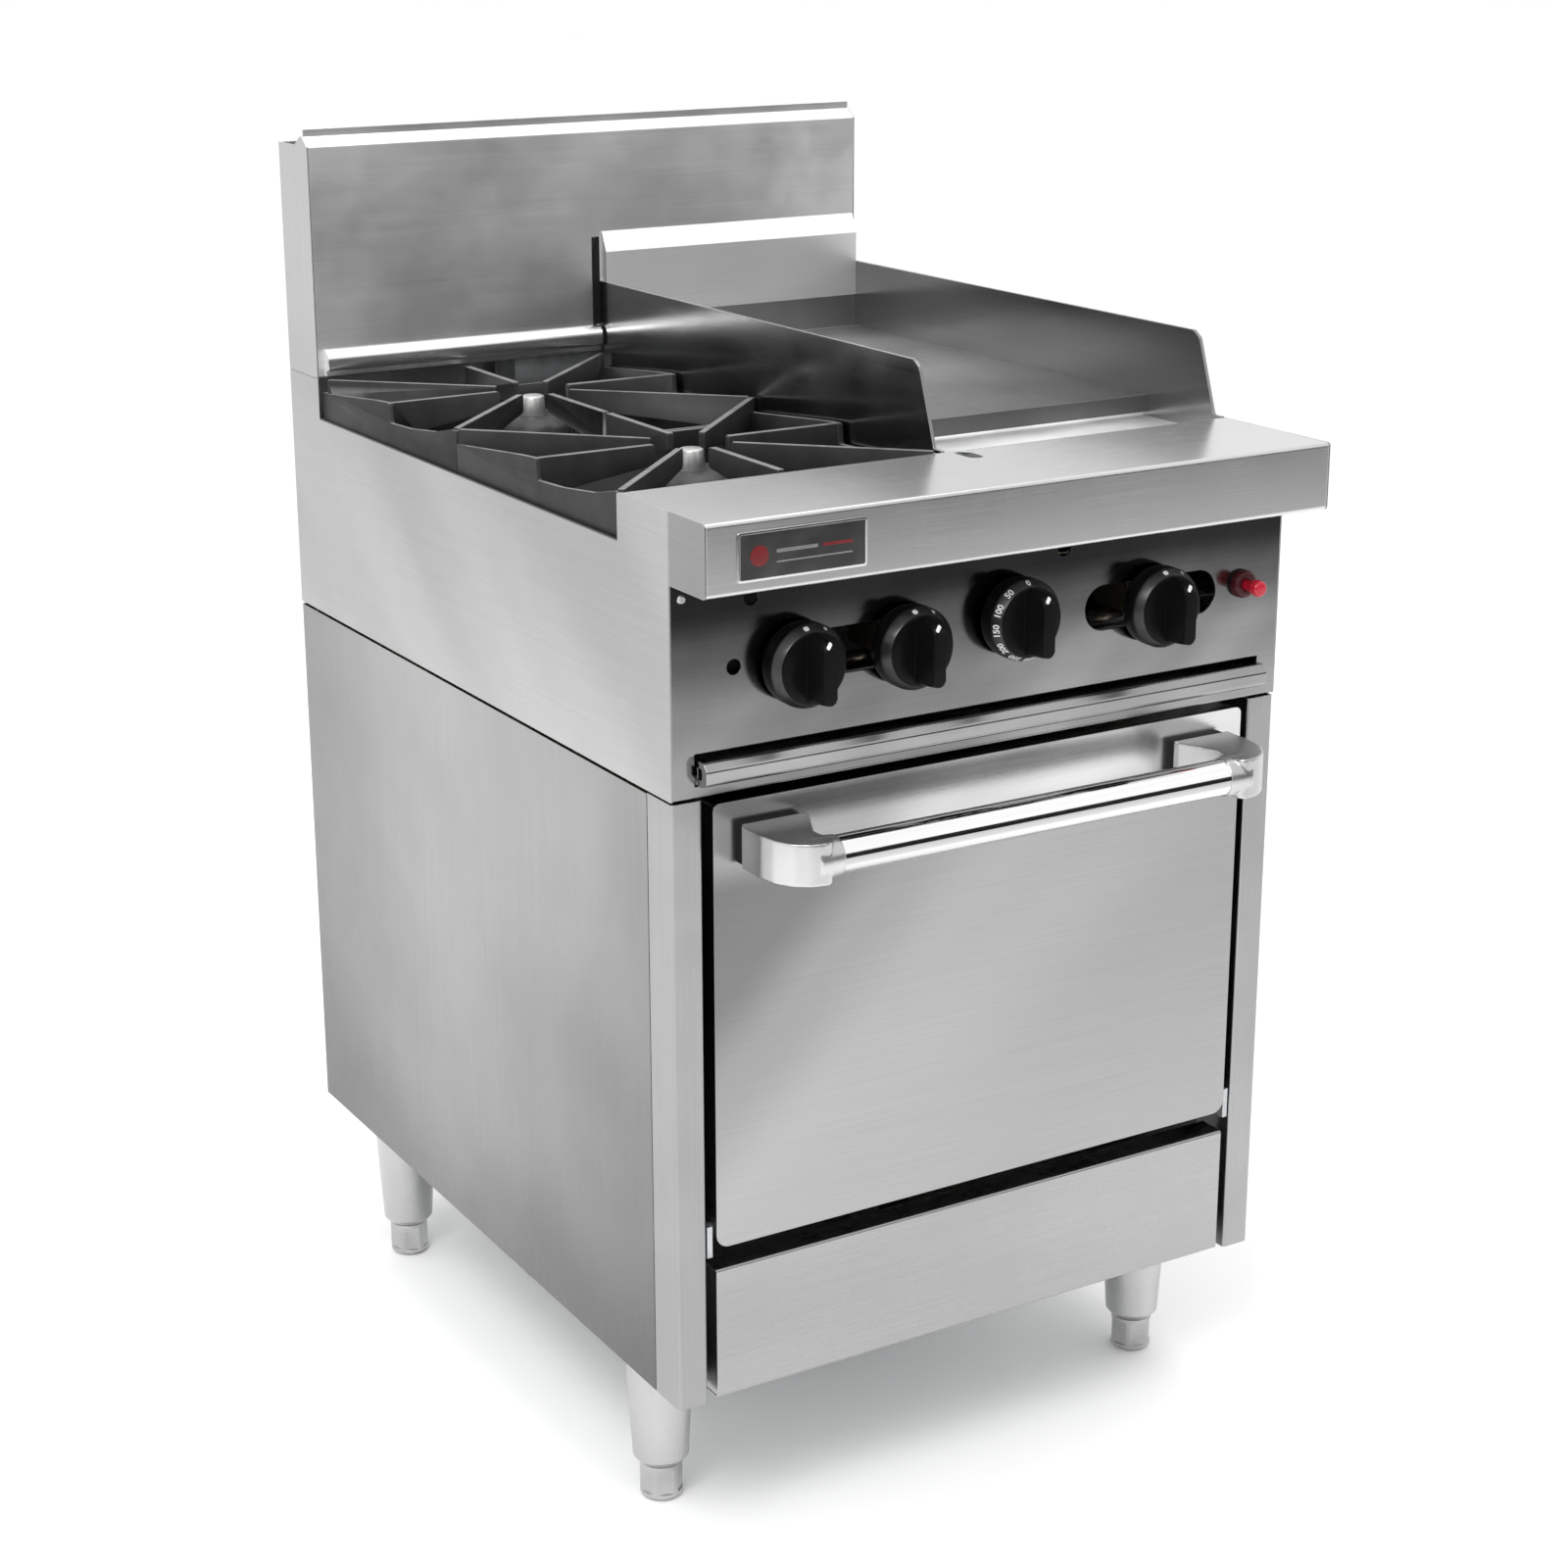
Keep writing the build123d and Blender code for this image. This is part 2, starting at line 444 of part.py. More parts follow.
ib = rod((262.5, PANEL_Y, 791), (262.5, -775, 791), 10, 9) + rod((262.5, PANEL_Y - 2, 791), (262.5, -742, 791), 7.4)
ib = ib + rod((262.5, PANEL_Y + T, 791), (262.5, -761, 791), 11.0)
ib = ib - rod((262.5, -776, 791), (262.5, -760, 791), 5.0 + FIT)
put("igniter_body", ib)
put("igniter_button", rod((262.5, -769, 791), (262.5, -789, 791), 5.0) + rod((262.5, -782.5, 791), (262.5, -789, 791), 5.0, 7.2)
    + rod((262.5, -789, 791), (262.5, -793, 791), 7.2) + rod((262.5, -793, 791), (262.5, -795, 791), 7.2, 5.5))

gas_tubes = []
gas_tubes.append(bent([(KNOB_X[3] + 12, -722.4, 824), (KNOB_X[3] + 12, -700, 824), (272, -700, 824), (272, -80, 824), (272, -80, 240), (272, -652, 240), (8.2, -652, 240)], 4, 14))
gas_tubes.append(bent([(-60, MAN_Y + MAN_R + 0.02, MAN_Z), (-60, -640, MAN_Z), (-60, -640, 838), (-60, -300, 838), (-100, -300, 838)], 3, 10))
put("gas_tubes", *gas_tubes)

# --------------------------------------------------------------------- oven
lin = box(-OV_X - T, OV_X + T, FLANGE_Y + T - 0.01, OV_BACK + T, OV_Z0 - T, OV_Z1 + T) - box(-OV_X, OV_X, FLANGE_Y - 1, OV_BACK, OV_Z0, OV_Z1)
lin = lin + (box(-275.4, 275.4, FLANGE_Y, FLANGE_Y + T, 274, 684) - box(-OV_X, OV_X, FLANGE_Y - 1, FLANGE_Y + 3, OV_Z0, OV_Z1))
lin = lin - box(-150, 150, -650, -200, OV_Z0 - 5, OV_Z0 + 1)
lin = lin - box(-80, 80, OV_BACK - 1, OV_BACK + 5, 585, 625)
lin = lin - rod((-150, OV_BACK - 2, 610), (-150, OV_BACK + 5, 610), 3)
put("oven_liner", lin)

ins = box(-262, 262, FLANGE_Y + T + 0.5, -92, 300, 680) - box(-OV_X - T - 0.05, OV_X + T + 0.05, -730, OV_BACK + T + 0.05, 290, OV_Z1 + T + 0.05)
ins = ins - box(-82.5, 82.5, -140, -90, 582, 628) - rod((-150, -135, 610), (-150, -90, 610), 3)
put("oven_insulation", ins)

sole = box(-216, 216, -716, -134, OV_Z0, OV_Z0 + 5)
for i in range(9):
    xc = -176 + 44 * i
    for y0, y1 in ((-706, -682), (-168, -144)):
        sole = sole - box(xc - 13, xc + 13, y0, y1, OV_Z0 - 1, OV_Z0 + 6)
put("oven_sole_plate", sole)

ob = rod((0, -640, 262), (0, -215, 262), 19) - rod((0, -650, 262), (0, -217, 262), 17)
ob = ob + (rod((0, -652, 234), (0, -652, 262), 8) + rod((0, -656, 262), (0, -636, 262), 19.0))
ob = ob + box(-16, 16, -628, -624, LEG_TOP + T, 245) + box(-16, 16, -232, -228, LEG_TOP + T, 245) \
    + box(-16, 16, -640, -624, LEG_TOP + T, LEG_TOP + T + 2) + box(-16, 16, -232, -216, LEG_TOP + T, LEG_TOP + T + 2)
for i in range(14):
    y = -600 + i * 27
    ob = ob - rod((-22, y, 268), (22, y, 268), 2.0)
put("oven_burner", ob)

duct = (box(-90, 90, -62, -14, 575, 925) - box(-90 + T, 90 - T, -62 + T, -14 - T, 575 + T, 930))
duct = duct - box(-80, 80, -64, -60, 585, 625)
duct = duct + (box(-81.5, 81.5, -61, OV_BACK + T + 0.05, 583.5, 626.5) - box(-80, 80, -60, OV_BACK, 585, 625))
put("oven_flue_duct", duct)

RACK_Z = (418.0, 528.0)


def ladder(sx):
    """Side ladder carrying the racks: two uprights and three runners."""
    x_in, x_out = 211.5, 219.5
    s = None
    for y in (-690.0, -165.0):
        c = rod((sx * 216.5, y, OV_Z0 + 5.05), (sx * 216.5, y, 600), 3)
        s = c if s is None else s + c
    for z_ in (363.0, RACK_Z[0], 473.0, RACK_Z[1], 583.0):
        s = s + rod((sx * 216.5, -706, z_ - 6), (sx * 216.5, -150, z_ - 6), 3) \
            + box(sx * 205, sx * 216.5, -706, -150, z_ - 5, z_ - 3)
    return s


put("rack_supports", ladder(-1), ladder(1))


def rack(z_):
    """Wire shelf resting on the runners at height z_ - 3."""
    s = tube_run([(-208, -704, z_), (208, -704, z_), (208, -152, z_), (-208, -152, z_), (-208, -704, z_)], 3)
    s = s + ball((-208, -704, z_), 3)
    for y in (-520.0, -336.0):
        s = s + rod((-208, y, z_ ), (208, y, z_ ), 2.4)
    for i in range(13):
        xw = -180 + 30 * i
        s = s + rod((xw, -704, z_ + 1.6), (xw, -152, z_ + 1.6), 1.9)
    return s


put("oven_racks", rack(RACK_Z[0]), rack(RACK_Z[1]))

# --------------------------------------------------------------------- door
RD = [12, 12, 6, 6]
OUT = [(-DOOR_HX, DOOR_Z0), (DOOR_HX, DOOR_Z0), (DOOR_HX, DOOR_Z1), (-DOOR_HX, DOOR_Z1)]
INN = [(-DOOR_HX + T, DOOR_Z0 + T), (DOOR_HX - T, DOOR_Z0 + T), (DOOR_HX - T, DOOR_Z1 - T), (-DOOR_HX + T, DOOR_Z1 - T)]
skin = along_y(outline(OUT, RD), DOOR_Y, DOOR_BACK - 2) - along_y(outline(INN, [r - T for r in RD]), DOOR_Y + T, DOOR_BACK + 1)
skin = skin - rod((-290, HINGE_Y, HINGE_Z), (-262, HINGE_Y, HINGE_Z), PIN_R + 1.0) - rod((290, HINGE_Y, HINGE_Z), (262, HINGE_Y, HINGE_Z), PIN_R + 1.0)
put("door_skin", skin)
dl = along_y(outline(OUT, RD), DOOR_BACK - 2, DOOR_BACK)
dl = dl + (box(-205, 205, DOOR_BACK - 0.01, DOOR_BACK + 4, 335, 625) - box(-203.5, 203.5, DOOR_BACK - 2, DOOR_BACK + 2.5, 336.5, 623.5))
put("door_liner", dl)
put("door_insulation", box(-250, 250, DOOR_Y + T, DOOR_BACK - 2, 322, DOOR_Z1 - T - 4))
gk = along_y(outline([(-236, 305), (236, 305), (236, 656), (-236, 656)], 14), DOOR_BACK, FLANGE_Y) \
    - along_y(outline([(-224, 317), (224, 317), (224, 644), (-224, 644)], 6), DOOR_BACK - 1, FLANGE_Y + 1)
put("door_gasket", gk)
arm = box(-266.4, -252, DOOR_Y + T + 0.05, DOOR_BACK - 2.05, DOOR_Z0 + T + 0.05, 420)
arm = arm & along_y(outline([(-266.4, DOOR_Z0 + T + 0.1), (-200, DOOR_Z0 + T + 0.1), (-200, 421), (-266.4, 421)], [10.4, 0, 0, 0]), -760, -730.1)
arm = arm - rod((-270, HINGE_Y, HINGE_Z), (-250, HINGE_Y, HINGE_Z), PIN_R + FIT)
put("hinge_arms", arm, mirror_x(arm))
br = box(-POST_IN + T, -270.5, -766, -738, 283, 311) + rod((-272, HINGE_Y, HINGE_Z), (-253, HINGE_Y, HINGE_Z), PIN_R)
put("hinge_brackets", br, mirror_x(br))

# handle: two cast brackets and a tube between them
PL = [(-247, DOOR_Y), (-247, -806), (-243, -826), (-232, -841), (-216, -850), (-205, -851), (-193, -851), (-193, -816), (-203, -814), (-188, -781), (-186.5, DOOR_Y)]
hb = along_z(outline(PL, [0, 30, 18, 18, 18, 0, 0, 0, 3, 3, 0]), BAR_Z - 18, BAR_Z + 18)
side_cut = along_x(outline([(DOOR_Y + 1, BAR_Z - 18.2), (DOOR_Y + 1, BAR_Z + 18.2), (-806, BAR_Z + 18.2), (-851.1, BAR_Z + 18.2), (-851.1, BAR_Z - 18.2), (-806, BAR_Z - 18.2)],
                           [0, 0, 0, 17.9, 17.9, 0]), -260, -180)
hb = hb & side_cut
hb = hb - rod((-208, BAR_Y, BAR_Z), (-190, BAR_Y, BAR_Z), BAR_R + 0.02)
put("handle_brackets", hb, mirror_x(hb))
bar = rod((-208, BAR_Y, BAR_Z), (208, BAR_Y, BAR_Z), BAR_R) - rod((-209, BAR_Y, BAR_Z), (209, BAR_Y, BAR_Z), BAR_R - 1.6)
put("handle_bar", bar)

# --------------------------------------------------- crumb tray, grease box
TX, TB = 281.0, -150.0
tray = box(-TX, TX, -767, TB, TRAY_Z, TRAY_Z + 1.2)
tray = tray + box(-TX, -TX + 1.2, -767, TB, TRAY_Z, TRAY_Z + 13) + box(TX - 1.2, TX, -767, TB, TRAY_Z, TRAY_Z + 13) \
    + box(-TX, TX, TB - 1.2, TB, TRAY_Z, TRAY_Z + 13)
lip = along_x(outline([(-765.5, 697.5), (-777, 697.5), (-784, 701), (-784, 712), (-779, 718), (-765.5, 718)], [0, 3, 3, 4, 3, 0]), -TX - 1, TX + 1)
lip = lip - along_x(outline([(-760, 703), (-776.5, 703), (-776.5, 712.5), (-760, 712.5)], [0, 2, 2, 0]), -TX - 3, TX + 3)
tray = tray + lip + box(-TX, TX, -768, -766.5, TRAY_Z, 716)
put("crumb_tray", tray)
gbx = box(-70, 110, -748, -612, TRAY_Z + 1.2, 716) - box(-68.8, 108.8, -746.8, -613.2, TRAY_Z + 2.4, 720)
put("grease_box", gbx)

# ------------------------------------------------------------------- screws
scr = []


def screw(p, d):
    v = Vector(*d)
    q = Vector(*p) + v * 2.2
    return rod(p, (q.X, q.Y, q.Z), 4.0, 2.6)


scr.append(screw((-294, PANEL_Y, 849.5), (0, -1, 0)))
scr.append(screw((294, PANEL_Y, 849.5), (0, -1, 0)))
for sx in (-1, 1):
    for z in (175, 420, 660):
        scr.append(screw((sx * 281, 0, z), (0, 1, 0)))
    for z in (720, 890, 960, 1110):
        scr.append(screw((sx * 296, 0, z), (0, 1, 0)))
    scr.append(screw((sx * 150, 0, 175), (0, 1, 0)))
put("panel_screws", *scr)

for name, sol in sorted(parts.items()):
    shape = sol[0] if len(sol) == 1 else Compound(children=sol)
    export_step(shape, f"parts/{name}.step")
print(len(parts), "nodes", sum(len(s) for s in parts.values()), "solids")
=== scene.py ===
import math

import bmesh
import bpy
from mathutils import Matrix, Vector


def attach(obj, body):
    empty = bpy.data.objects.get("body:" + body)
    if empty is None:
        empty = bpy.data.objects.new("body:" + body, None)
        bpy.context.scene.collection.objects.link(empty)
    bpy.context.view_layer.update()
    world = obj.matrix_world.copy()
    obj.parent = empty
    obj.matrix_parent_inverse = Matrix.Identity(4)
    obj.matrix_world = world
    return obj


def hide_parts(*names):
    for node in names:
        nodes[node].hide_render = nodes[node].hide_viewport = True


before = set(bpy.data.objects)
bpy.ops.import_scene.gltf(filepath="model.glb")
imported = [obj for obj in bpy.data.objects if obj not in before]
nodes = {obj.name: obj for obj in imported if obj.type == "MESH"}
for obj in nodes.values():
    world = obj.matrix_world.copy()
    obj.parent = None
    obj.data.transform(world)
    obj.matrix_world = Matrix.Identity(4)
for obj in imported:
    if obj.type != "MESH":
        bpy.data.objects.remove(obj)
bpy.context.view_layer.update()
Y_SHIFT = 413.5


def M(x, y, z):
    """Working millimetres (y = 0 at the back face) to the row frame in metres."""
    return Vector((x / 1000.0, (y + Y_SHIFT) / 1000.0, z / 1000.0))


# ============================================================== material kit
class Net:
    """Small helper for building node trees."""

    def __init__(self, name):
        self.mat = bpy.data.materials.new(name)
        self.mat.use_nodes = True
        self.t = self.mat.node_tree
        self.t.nodes.clear()
        self.out = self.t.nodes.new("ShaderNodeOutputMaterial")
        self.bsdf = self.t.nodes.new("ShaderNodeBsdfPrincipled")
        self.t.links.new(self.bsdf.outputs[0], self.out.inputs[0])
        self.tc = self.t.nodes.new("ShaderNodeTexCoord")

    def node(self, kind, **kw):
        n = self.t.nodes.new(kind)
        for k, v in kw.items():
            setattr(n, k, v)
        return n

    def put(self, socket, value):
        if isinstance(value, bpy.types.NodeSocket):
            self.t.links.new(value, socket)
        else:
            socket.default_value = value

    def coords(self, rot=(0, 0, 0), scale=(1, 1, 1), loc=(0, 0, 0)):
        """Object coordinates, turned first and then scaled."""
        m = self.node("ShaderNodeMapping", vector_type="POINT")
        self.put(m.inputs[0], self.tc.outputs["Object"])
        m.inputs["Rotation"].default_value = rot
        if any(abs(r) > 1e-9 for r in rot):
            m2 = self.node("ShaderNodeMapping", vector_type="POINT")
            self.put(m2.inputs[0], m.outputs[0])
            m2.inputs["Scale"].default_value = scale
            m2.inputs["Location"].default_value = loc
            return m2.outputs[0]
        m.inputs["Scale"].default_value = scale
        m.inputs["Location"].default_value = loc
        return m.outputs[0]

    def noise(self, vec, scale=1.0, detail=2.0, rough=0.5, dist=0.0):
        n = self.node("ShaderNodeTexNoise")
        self.put(n.inputs["Vector"], vec)
        n.inputs["Scale"].default_value = scale
        n.inputs["Detail"].default_value = detail
        n.inputs["Roughness"].default_value = rough
        n.inputs["Distortion"].default_value = dist
        return n.outputs[0]

    def math(self, op, a, b=0.0, clamp=False):
        n = self.node("ShaderNodeMath", operation=op, use_clamp=clamp)
        self.put(n.inputs[0], a)
        self.put(n.inputs[1], b)
        return n.outputs[0]

    def remap(self, v, a, b, c, d, smooth=False):
        n = self.node("ShaderNodeMapRange", interpolation_type="SMOOTHSTEP" if smooth else "LINEAR")
        n.clamp = True
        self.put(n.inputs["Value"], v)
        for k, x in (("From Min", a), ("From Max", b), ("To Min", c), ("To Max", d)):
            self.put(n.inputs[k], x)
        return n.outputs[0]

    def mix(self, f, a, b, blend="MIX"):
        n = self.node("ShaderNodeMix", data_type="RGBA", blend_type=blend)
        self.put(n.inputs[0], f)
        self.put(n.inputs[6], a)
        self.put(n.inputs[7], b)
        return n.outputs[2]

    def scale_color(self, col, f):
        n = self.node("ShaderNodeVectorMath", operation="SCALE")
        self.put(n.inputs[0], col)
        self.put(n.inputs["Scale"], f)
        return n.outputs[0]

    def rounded(self, radius):
        """Normal with the edges rounded a little, and a mask of those edges."""
        b = self.node("ShaderNodeBevel")
        b.samples = 4
        b.inputs["Radius"].default_value = radius
        g = self.node("ShaderNodeNewGeometry")
        d = self.node("ShaderNodeVectorMath", operation="DOT_PRODUCT")
        self.put(d.inputs[0], b.outputs[0])
        self.put(d.inputs[1], g.outputs["Normal"])
        mask = self.remap(d.outputs["Value"], 0.985, 0.80, 0.0, 1.0)
        return b.outputs[0], mask

    def bump(self, height, strength, distance, normal=None):
        n = self.node("ShaderNodeBump")
        n.inputs["Strength"].default_value = strength
        n.inputs["Distance"].default_value = distance
        self.put(n.inputs["Height"], height)
        if normal is not None:
            self.put(n.inputs["Normal"], normal)
        return n.outputs[0]


def rgb(v):
    return (v[0], v[1], v[2], 1.0) if isinstance(v, (tuple, list)) else (v, v, v, 1.0)


GRAIN = {"x": (5, 700, 700), "y": (700, 5, 700), "z": (700, 700, 5)}


def steel(name, base=0.55, rough=0.30, grain="x", aniso=0.4, cloud=0.10, cloud_rot=(0, 0, 0), cloud_scale=(2, 2, 7),
          edge=0.35, radius=0.0007, metallic=1.0, painted_light_bands=None, grime=0.0, bump=0.0, rough_grain=0.025,
          smudge=1.0, seed=0.0):
    """Brushed sheet: fine grain along one axis, cloudy tone that is partly random and partly painted reflection
    streaks, smudged gloss, edges lighter from rubbing and painted highlight, and painted light and shade along chosen
    axes.
    """
    n = Net(name)
    col = rgb(base)
    g1 = n.noise(n.coords(scale=GRAIN[grain], loc=(seed, seed, seed)), 1.0, 3.0, 0.6)
    fine = tuple(s * (3.0 if s > 100 else 1.4) for s in GRAIN[grain])
    g2 = n.noise(n.coords(scale=fine, loc=(seed + 3, 1, 2)), 1.0, 2.0, 0.5)
    # cloud tone: random mottling; where it is turned and stretched diagonally it also paints soft reflection streaks
    cl = n.noise(n.coords(rot=cloud_rot, scale=cloud_scale, loc=(seed * 1.7, seed, 0)), 1.0, 1.5, 0.45)
    sm = n.noise(n.coords(scale=(16, 16, 16), loc=(seed, 5, 2)), 1.0, 4.0, 0.6)
    tone = n.math("ADD", n.remap(cl, 0.3, 0.7, 1 - cloud, 1 + cloud, True), n.remap(g1, 0.3, 0.7, -0.04, 0.04))
    # painted light and shade: each entry darkens or lightens the sheet along one object axis where shadow, shade or a
    # reflection falls
    for rot, along, wobble, stops in painted_light_bands or ():
        v = n.coords(rot=rot)
        s = n.node("ShaderNodeSeparateXYZ")
        n.put(s.inputs[0], v)
        w = n.noise(n.coords(scale=(3, 3, 3), loc=(seed, 1, 4)), 1.0, 2.0)
        pos = n.math("ADD", s.outputs[along], n.remap(w, 0.3, 0.7, -wobble, wobble))
        lo, hi = stops[0][0], stops[-1][0]
        r = n.node("ShaderNodeValToRGB")
        r.color_ramp.interpolation = "EASE"
        while len(r.color_ramp.elements) < len(stops):
            r.color_ramp.elements.new(0.5)
        for e, (p, t_) in zip(r.color_ramp.elements, stops):
            e.position = (p - lo) / (hi - lo)
            e.color = (t_ / 2, t_ / 2, t_ / 2, 1)
        n.put(r.inputs[0], n.remap(pos, lo, hi, 0.0, 1.0))
        tone = n.math("MULTIPLY", tone, n.math("MULTIPLY", r.outputs[0], 2.0))
    if grime > 0:
        gr = n.noise(n.coords(scale=(9, 9, 9), loc=(seed, 2, 8)), 1.0, 5.0, 0.65)
        tone = n.math("MULTIPLY", tone, n.remap(gr, 0.45, 0.75, 1.0, 1.0 - grime))
    nrm, mask = n.rounded(radius)
    # edges lighter: partly rubbing, partly painted edge highlight
    tone = n.math("ADD", tone, n.math("MULTIPLY", mask, edge))
    n.put(n.bsdf.inputs["Base Color"], n.scale_color(col[:3], tone))
    n.bsdf.inputs["Metallic"].default_value = metallic
    ro = n.math("ADD", n.remap(sm, 0.3, 0.7, rough - 0.035 * smudge, rough + 0.045 * smudge), n.remap(g2, 0.3, 0.7, -rough_grain, rough_grain))
    n.put(n.bsdf.inputs["Roughness"], n.math("MAXIMUM", ro, 0.04))
    if bump > 0:
        nrm = n.bump(n.math("ADD", g1, n.math("MULTIPLY", g2, 0.5)), bump, 0.00025, nrm)
    n.put(n.bsdf.inputs["Normal"], nrm)
    if aniso > 0:
        geo = n.node("ShaderNodeNewGeometry")
        cr = n.node("ShaderNodeVectorMath", operation="CROSS_PRODUCT")
        n.put(cr.inputs[0], geo.outputs["Normal"])
        ax = {"x": (1.0, 0.02, 0.01), "y": (0.02, 1.0, 0.01), "z": (0.01, 0.02, 1.0)}[grain]
        cr.inputs[1].default_value = ax
        cr2 = n.node("ShaderNodeVectorMath", operation="CROSS_PRODUCT")
        n.put(cr2.inputs[0], cr.outputs[0])
        n.put(cr2.inputs[1], geo.outputs["Normal"])
        n.put(n.bsdf.inputs["Tangent"], cr2.outputs[0])
        n.bsdf.inputs["Anisotropic"].default_value = aniso
    return n.mat


def plain(name, base, rough, metallic=0.0, var=0.12, scale=30.0, rough_var=0.08, bump=0.15, bump_scale=400.0, bump_dist=0.0003,
          edge=0.25, radius=0.0006, spec=0.5, coat=0.0, speck=0.0, edge_col=None, top_wear_and_highlight_col=None):
    """Cast, moulded, painted or fired surface: mottled tone, uneven gloss, fine texture, edges lighter from rubbing and
    painted highlight, and upward faces optionally lighter from rubbing and painted highlight.
    """
    n = Net(name)
    col = rgb(base)
    a = n.noise(n.coords(scale=(scale,) * 3), 1.0, 4.0, 0.55)
    b = n.noise(n.coords(scale=(bump_scale,) * 3, loc=(3, 1, 2)), 1.0, 3.0, 0.6)
    c = n.noise(n.coords(scale=(scale * 0.25,) * 3, loc=(1, 4, 9)), 1.0, 2.0, 0.5)
    tone = n.math("ADD", n.remap(a, 0.3, 0.7, 1 - var, 1 + var), n.remap(c, 0.3, 0.7, -var * 0.6, var * 0.6))
    if speck > 0:
        tone = n.math("ADD", tone, n.remap(b, 0.55, 0.75, 0.0, speck))
    nrm, mask = n.rounded(radius)
    shade = n.scale_color(col[:3], tone)
    # edges lighter: partly rubbing, partly painted edge highlight
    if edge_col is not None:
        edge_wear_and_highlight = n.math("MULTIPLY", mask, n.remap(a, 0.35, 0.6, 0.2, 1.0), True)
        shade = n.mix(n.math("MULTIPLY", edge_wear_and_highlight, edge, True), shade, rgb(edge_col))
    else:
        shade = n.scale_color(shade, n.math("ADD", 1.0, n.math("MULTIPLY", mask, edge)))
    if top_wear_and_highlight_col is not None:
        # upward faces lighter: partly polish from rubbing, partly painted highlight on the lit tops
        geo = n.node("ShaderNodeNewGeometry")
        up = n.node("ShaderNodeSeparateXYZ")
        n.put(up.inputs[0], geo.outputs["Normal"])
        top_wear_and_highlight = n.math("MULTIPLY", n.remap(up.outputs[2], 0.80, 0.97, 0.0, 1.0), n.remap(a, 0.30, 0.55, 0.55, 1.0), True)
        shade = n.mix(top_wear_and_highlight, shade, rgb(top_wear_and_highlight_col))
    n.put(n.bsdf.inputs["Base Color"], shade)
    n.bsdf.inputs["Metallic"].default_value = metallic
    n.bsdf.inputs["Specular IOR Level"].default_value = spec
    n.put(n.bsdf.inputs["Roughness"], n.remap(c, 0.3, 0.7, max(0.03, rough - rough_var), min(1.0, rough + rough_var)))
    n.put(n.bsdf.inputs["Normal"], n.bump(b, bump, bump_dist, nrm))
    if coat > 0:
        n.bsdf.inputs["Coat Weight"].default_value = coat
        n.bsdf.inputs["Coat Roughness"].default_value = 0.12
    return n.mat


# The steel parts below share one stainless finish; each gets its own base brightness by how much light it catches:
# painted light and shade.
D = math.radians
FLAT = (0, 0, 0)
# side panel: painted shade, darker low down and towards the front and back
m_side = steel("m_side_steel", 0.40, 0.30, "z", cloud=0.10, cloud_rot=(D(-38), 0, 0), cloud_scale=(1.0, 1.1, 5.0),
               painted_light_bands=[(FLAT, 2, 0.05, [(0.15, 0.50), (0.33, 0.77), (0.55, 0.98), (0.69, 1.12)]),
                      (FLAT, 1, 0.05, [(-0.33, 0.70), (-0.15, 0.88), (0.1, 1.0), (0.42, 0.68)])], seed=1.0)
# hob side: painted shade, darker at the front end
m_hobside = steel("m_hob_side_steel", 0.44, 0.30, "y", cloud=0.12, cloud_rot=(D(-38), 0, 0), cloud_scale=(1.0, 1.2, 6.0),
                  painted_light_bands=[(FLAT, 1, 0.0, [(-0.4115, 0.60), (-0.3570, 0.64), (-0.3530, 1.0), (0.42, 1.0)])], seed=2.0)
# door: painted shade at the upper-left corner beside the bracket, painted light along the top under the handle
m_door = steel("m_door_steel", 0.35, 0.23, "x", cloud=0.08, cloud_rot=(0, D(30), 0), cloud_scale=(1.4, 1, 4.0),
               painted_light_bands=[((0, D(-45), 0), 0, 0.015, [(-0.68, 0.42), (-0.55, 0.50), (-0.48, 0.80), (-0.40, 1.0), (-0.10, 1.0)]),
                      (FLAT, 2, 0.02, [(0.29, 1.08), (0.50, 1.0), (0.60, 1.0), (0.635, 1.85), (0.66, 2.0)])], smudge=0.3, seed=3.0)
m_post = steel("m_post_steel", 0.36, 0.30, "z", cloud=0.06, seed=4.0)
m_kick = steel("m_kick_steel", 0.38, 0.28, "x", cloud=0.06, seed=5.0)
# control panel: painted shade under the rail, and darker towards the left
m_panel = steel("m_panel_steel", 0.28, 0.15, "x", aniso=0.25, cloud=0.16, cloud_rot=(0, D(40), 0), cloud_scale=(5, 1, 14),
                painted_light_bands=[(FLAT, 2, 0.004, [(0.70, 1.12), (0.75, 0.90), (0.80, 0.40), (0.835, 0.12)]),
                       (FLAT, 0, 0.02, [(-0.30, 0.78), (-0.2, 0.78), (-0.05, 0.80), (0.1, 0.9), (0.30, 1.0)])], seed=6.0)
# rail: painted shade, the left end face darker
m_rail = steel("m_rail_steel", 0.60, 0.25, "x", cloud=0.06, cloud_scale=(3, 3, 6), edge=0.5, radius=0.0014,
               painted_light_bands=[(FLAT, 0, 0.0, [(-0.3060, 0.76), (-0.3046, 0.78), (-0.3030, 1.0)])], smudge=0.3, seed=7.0)
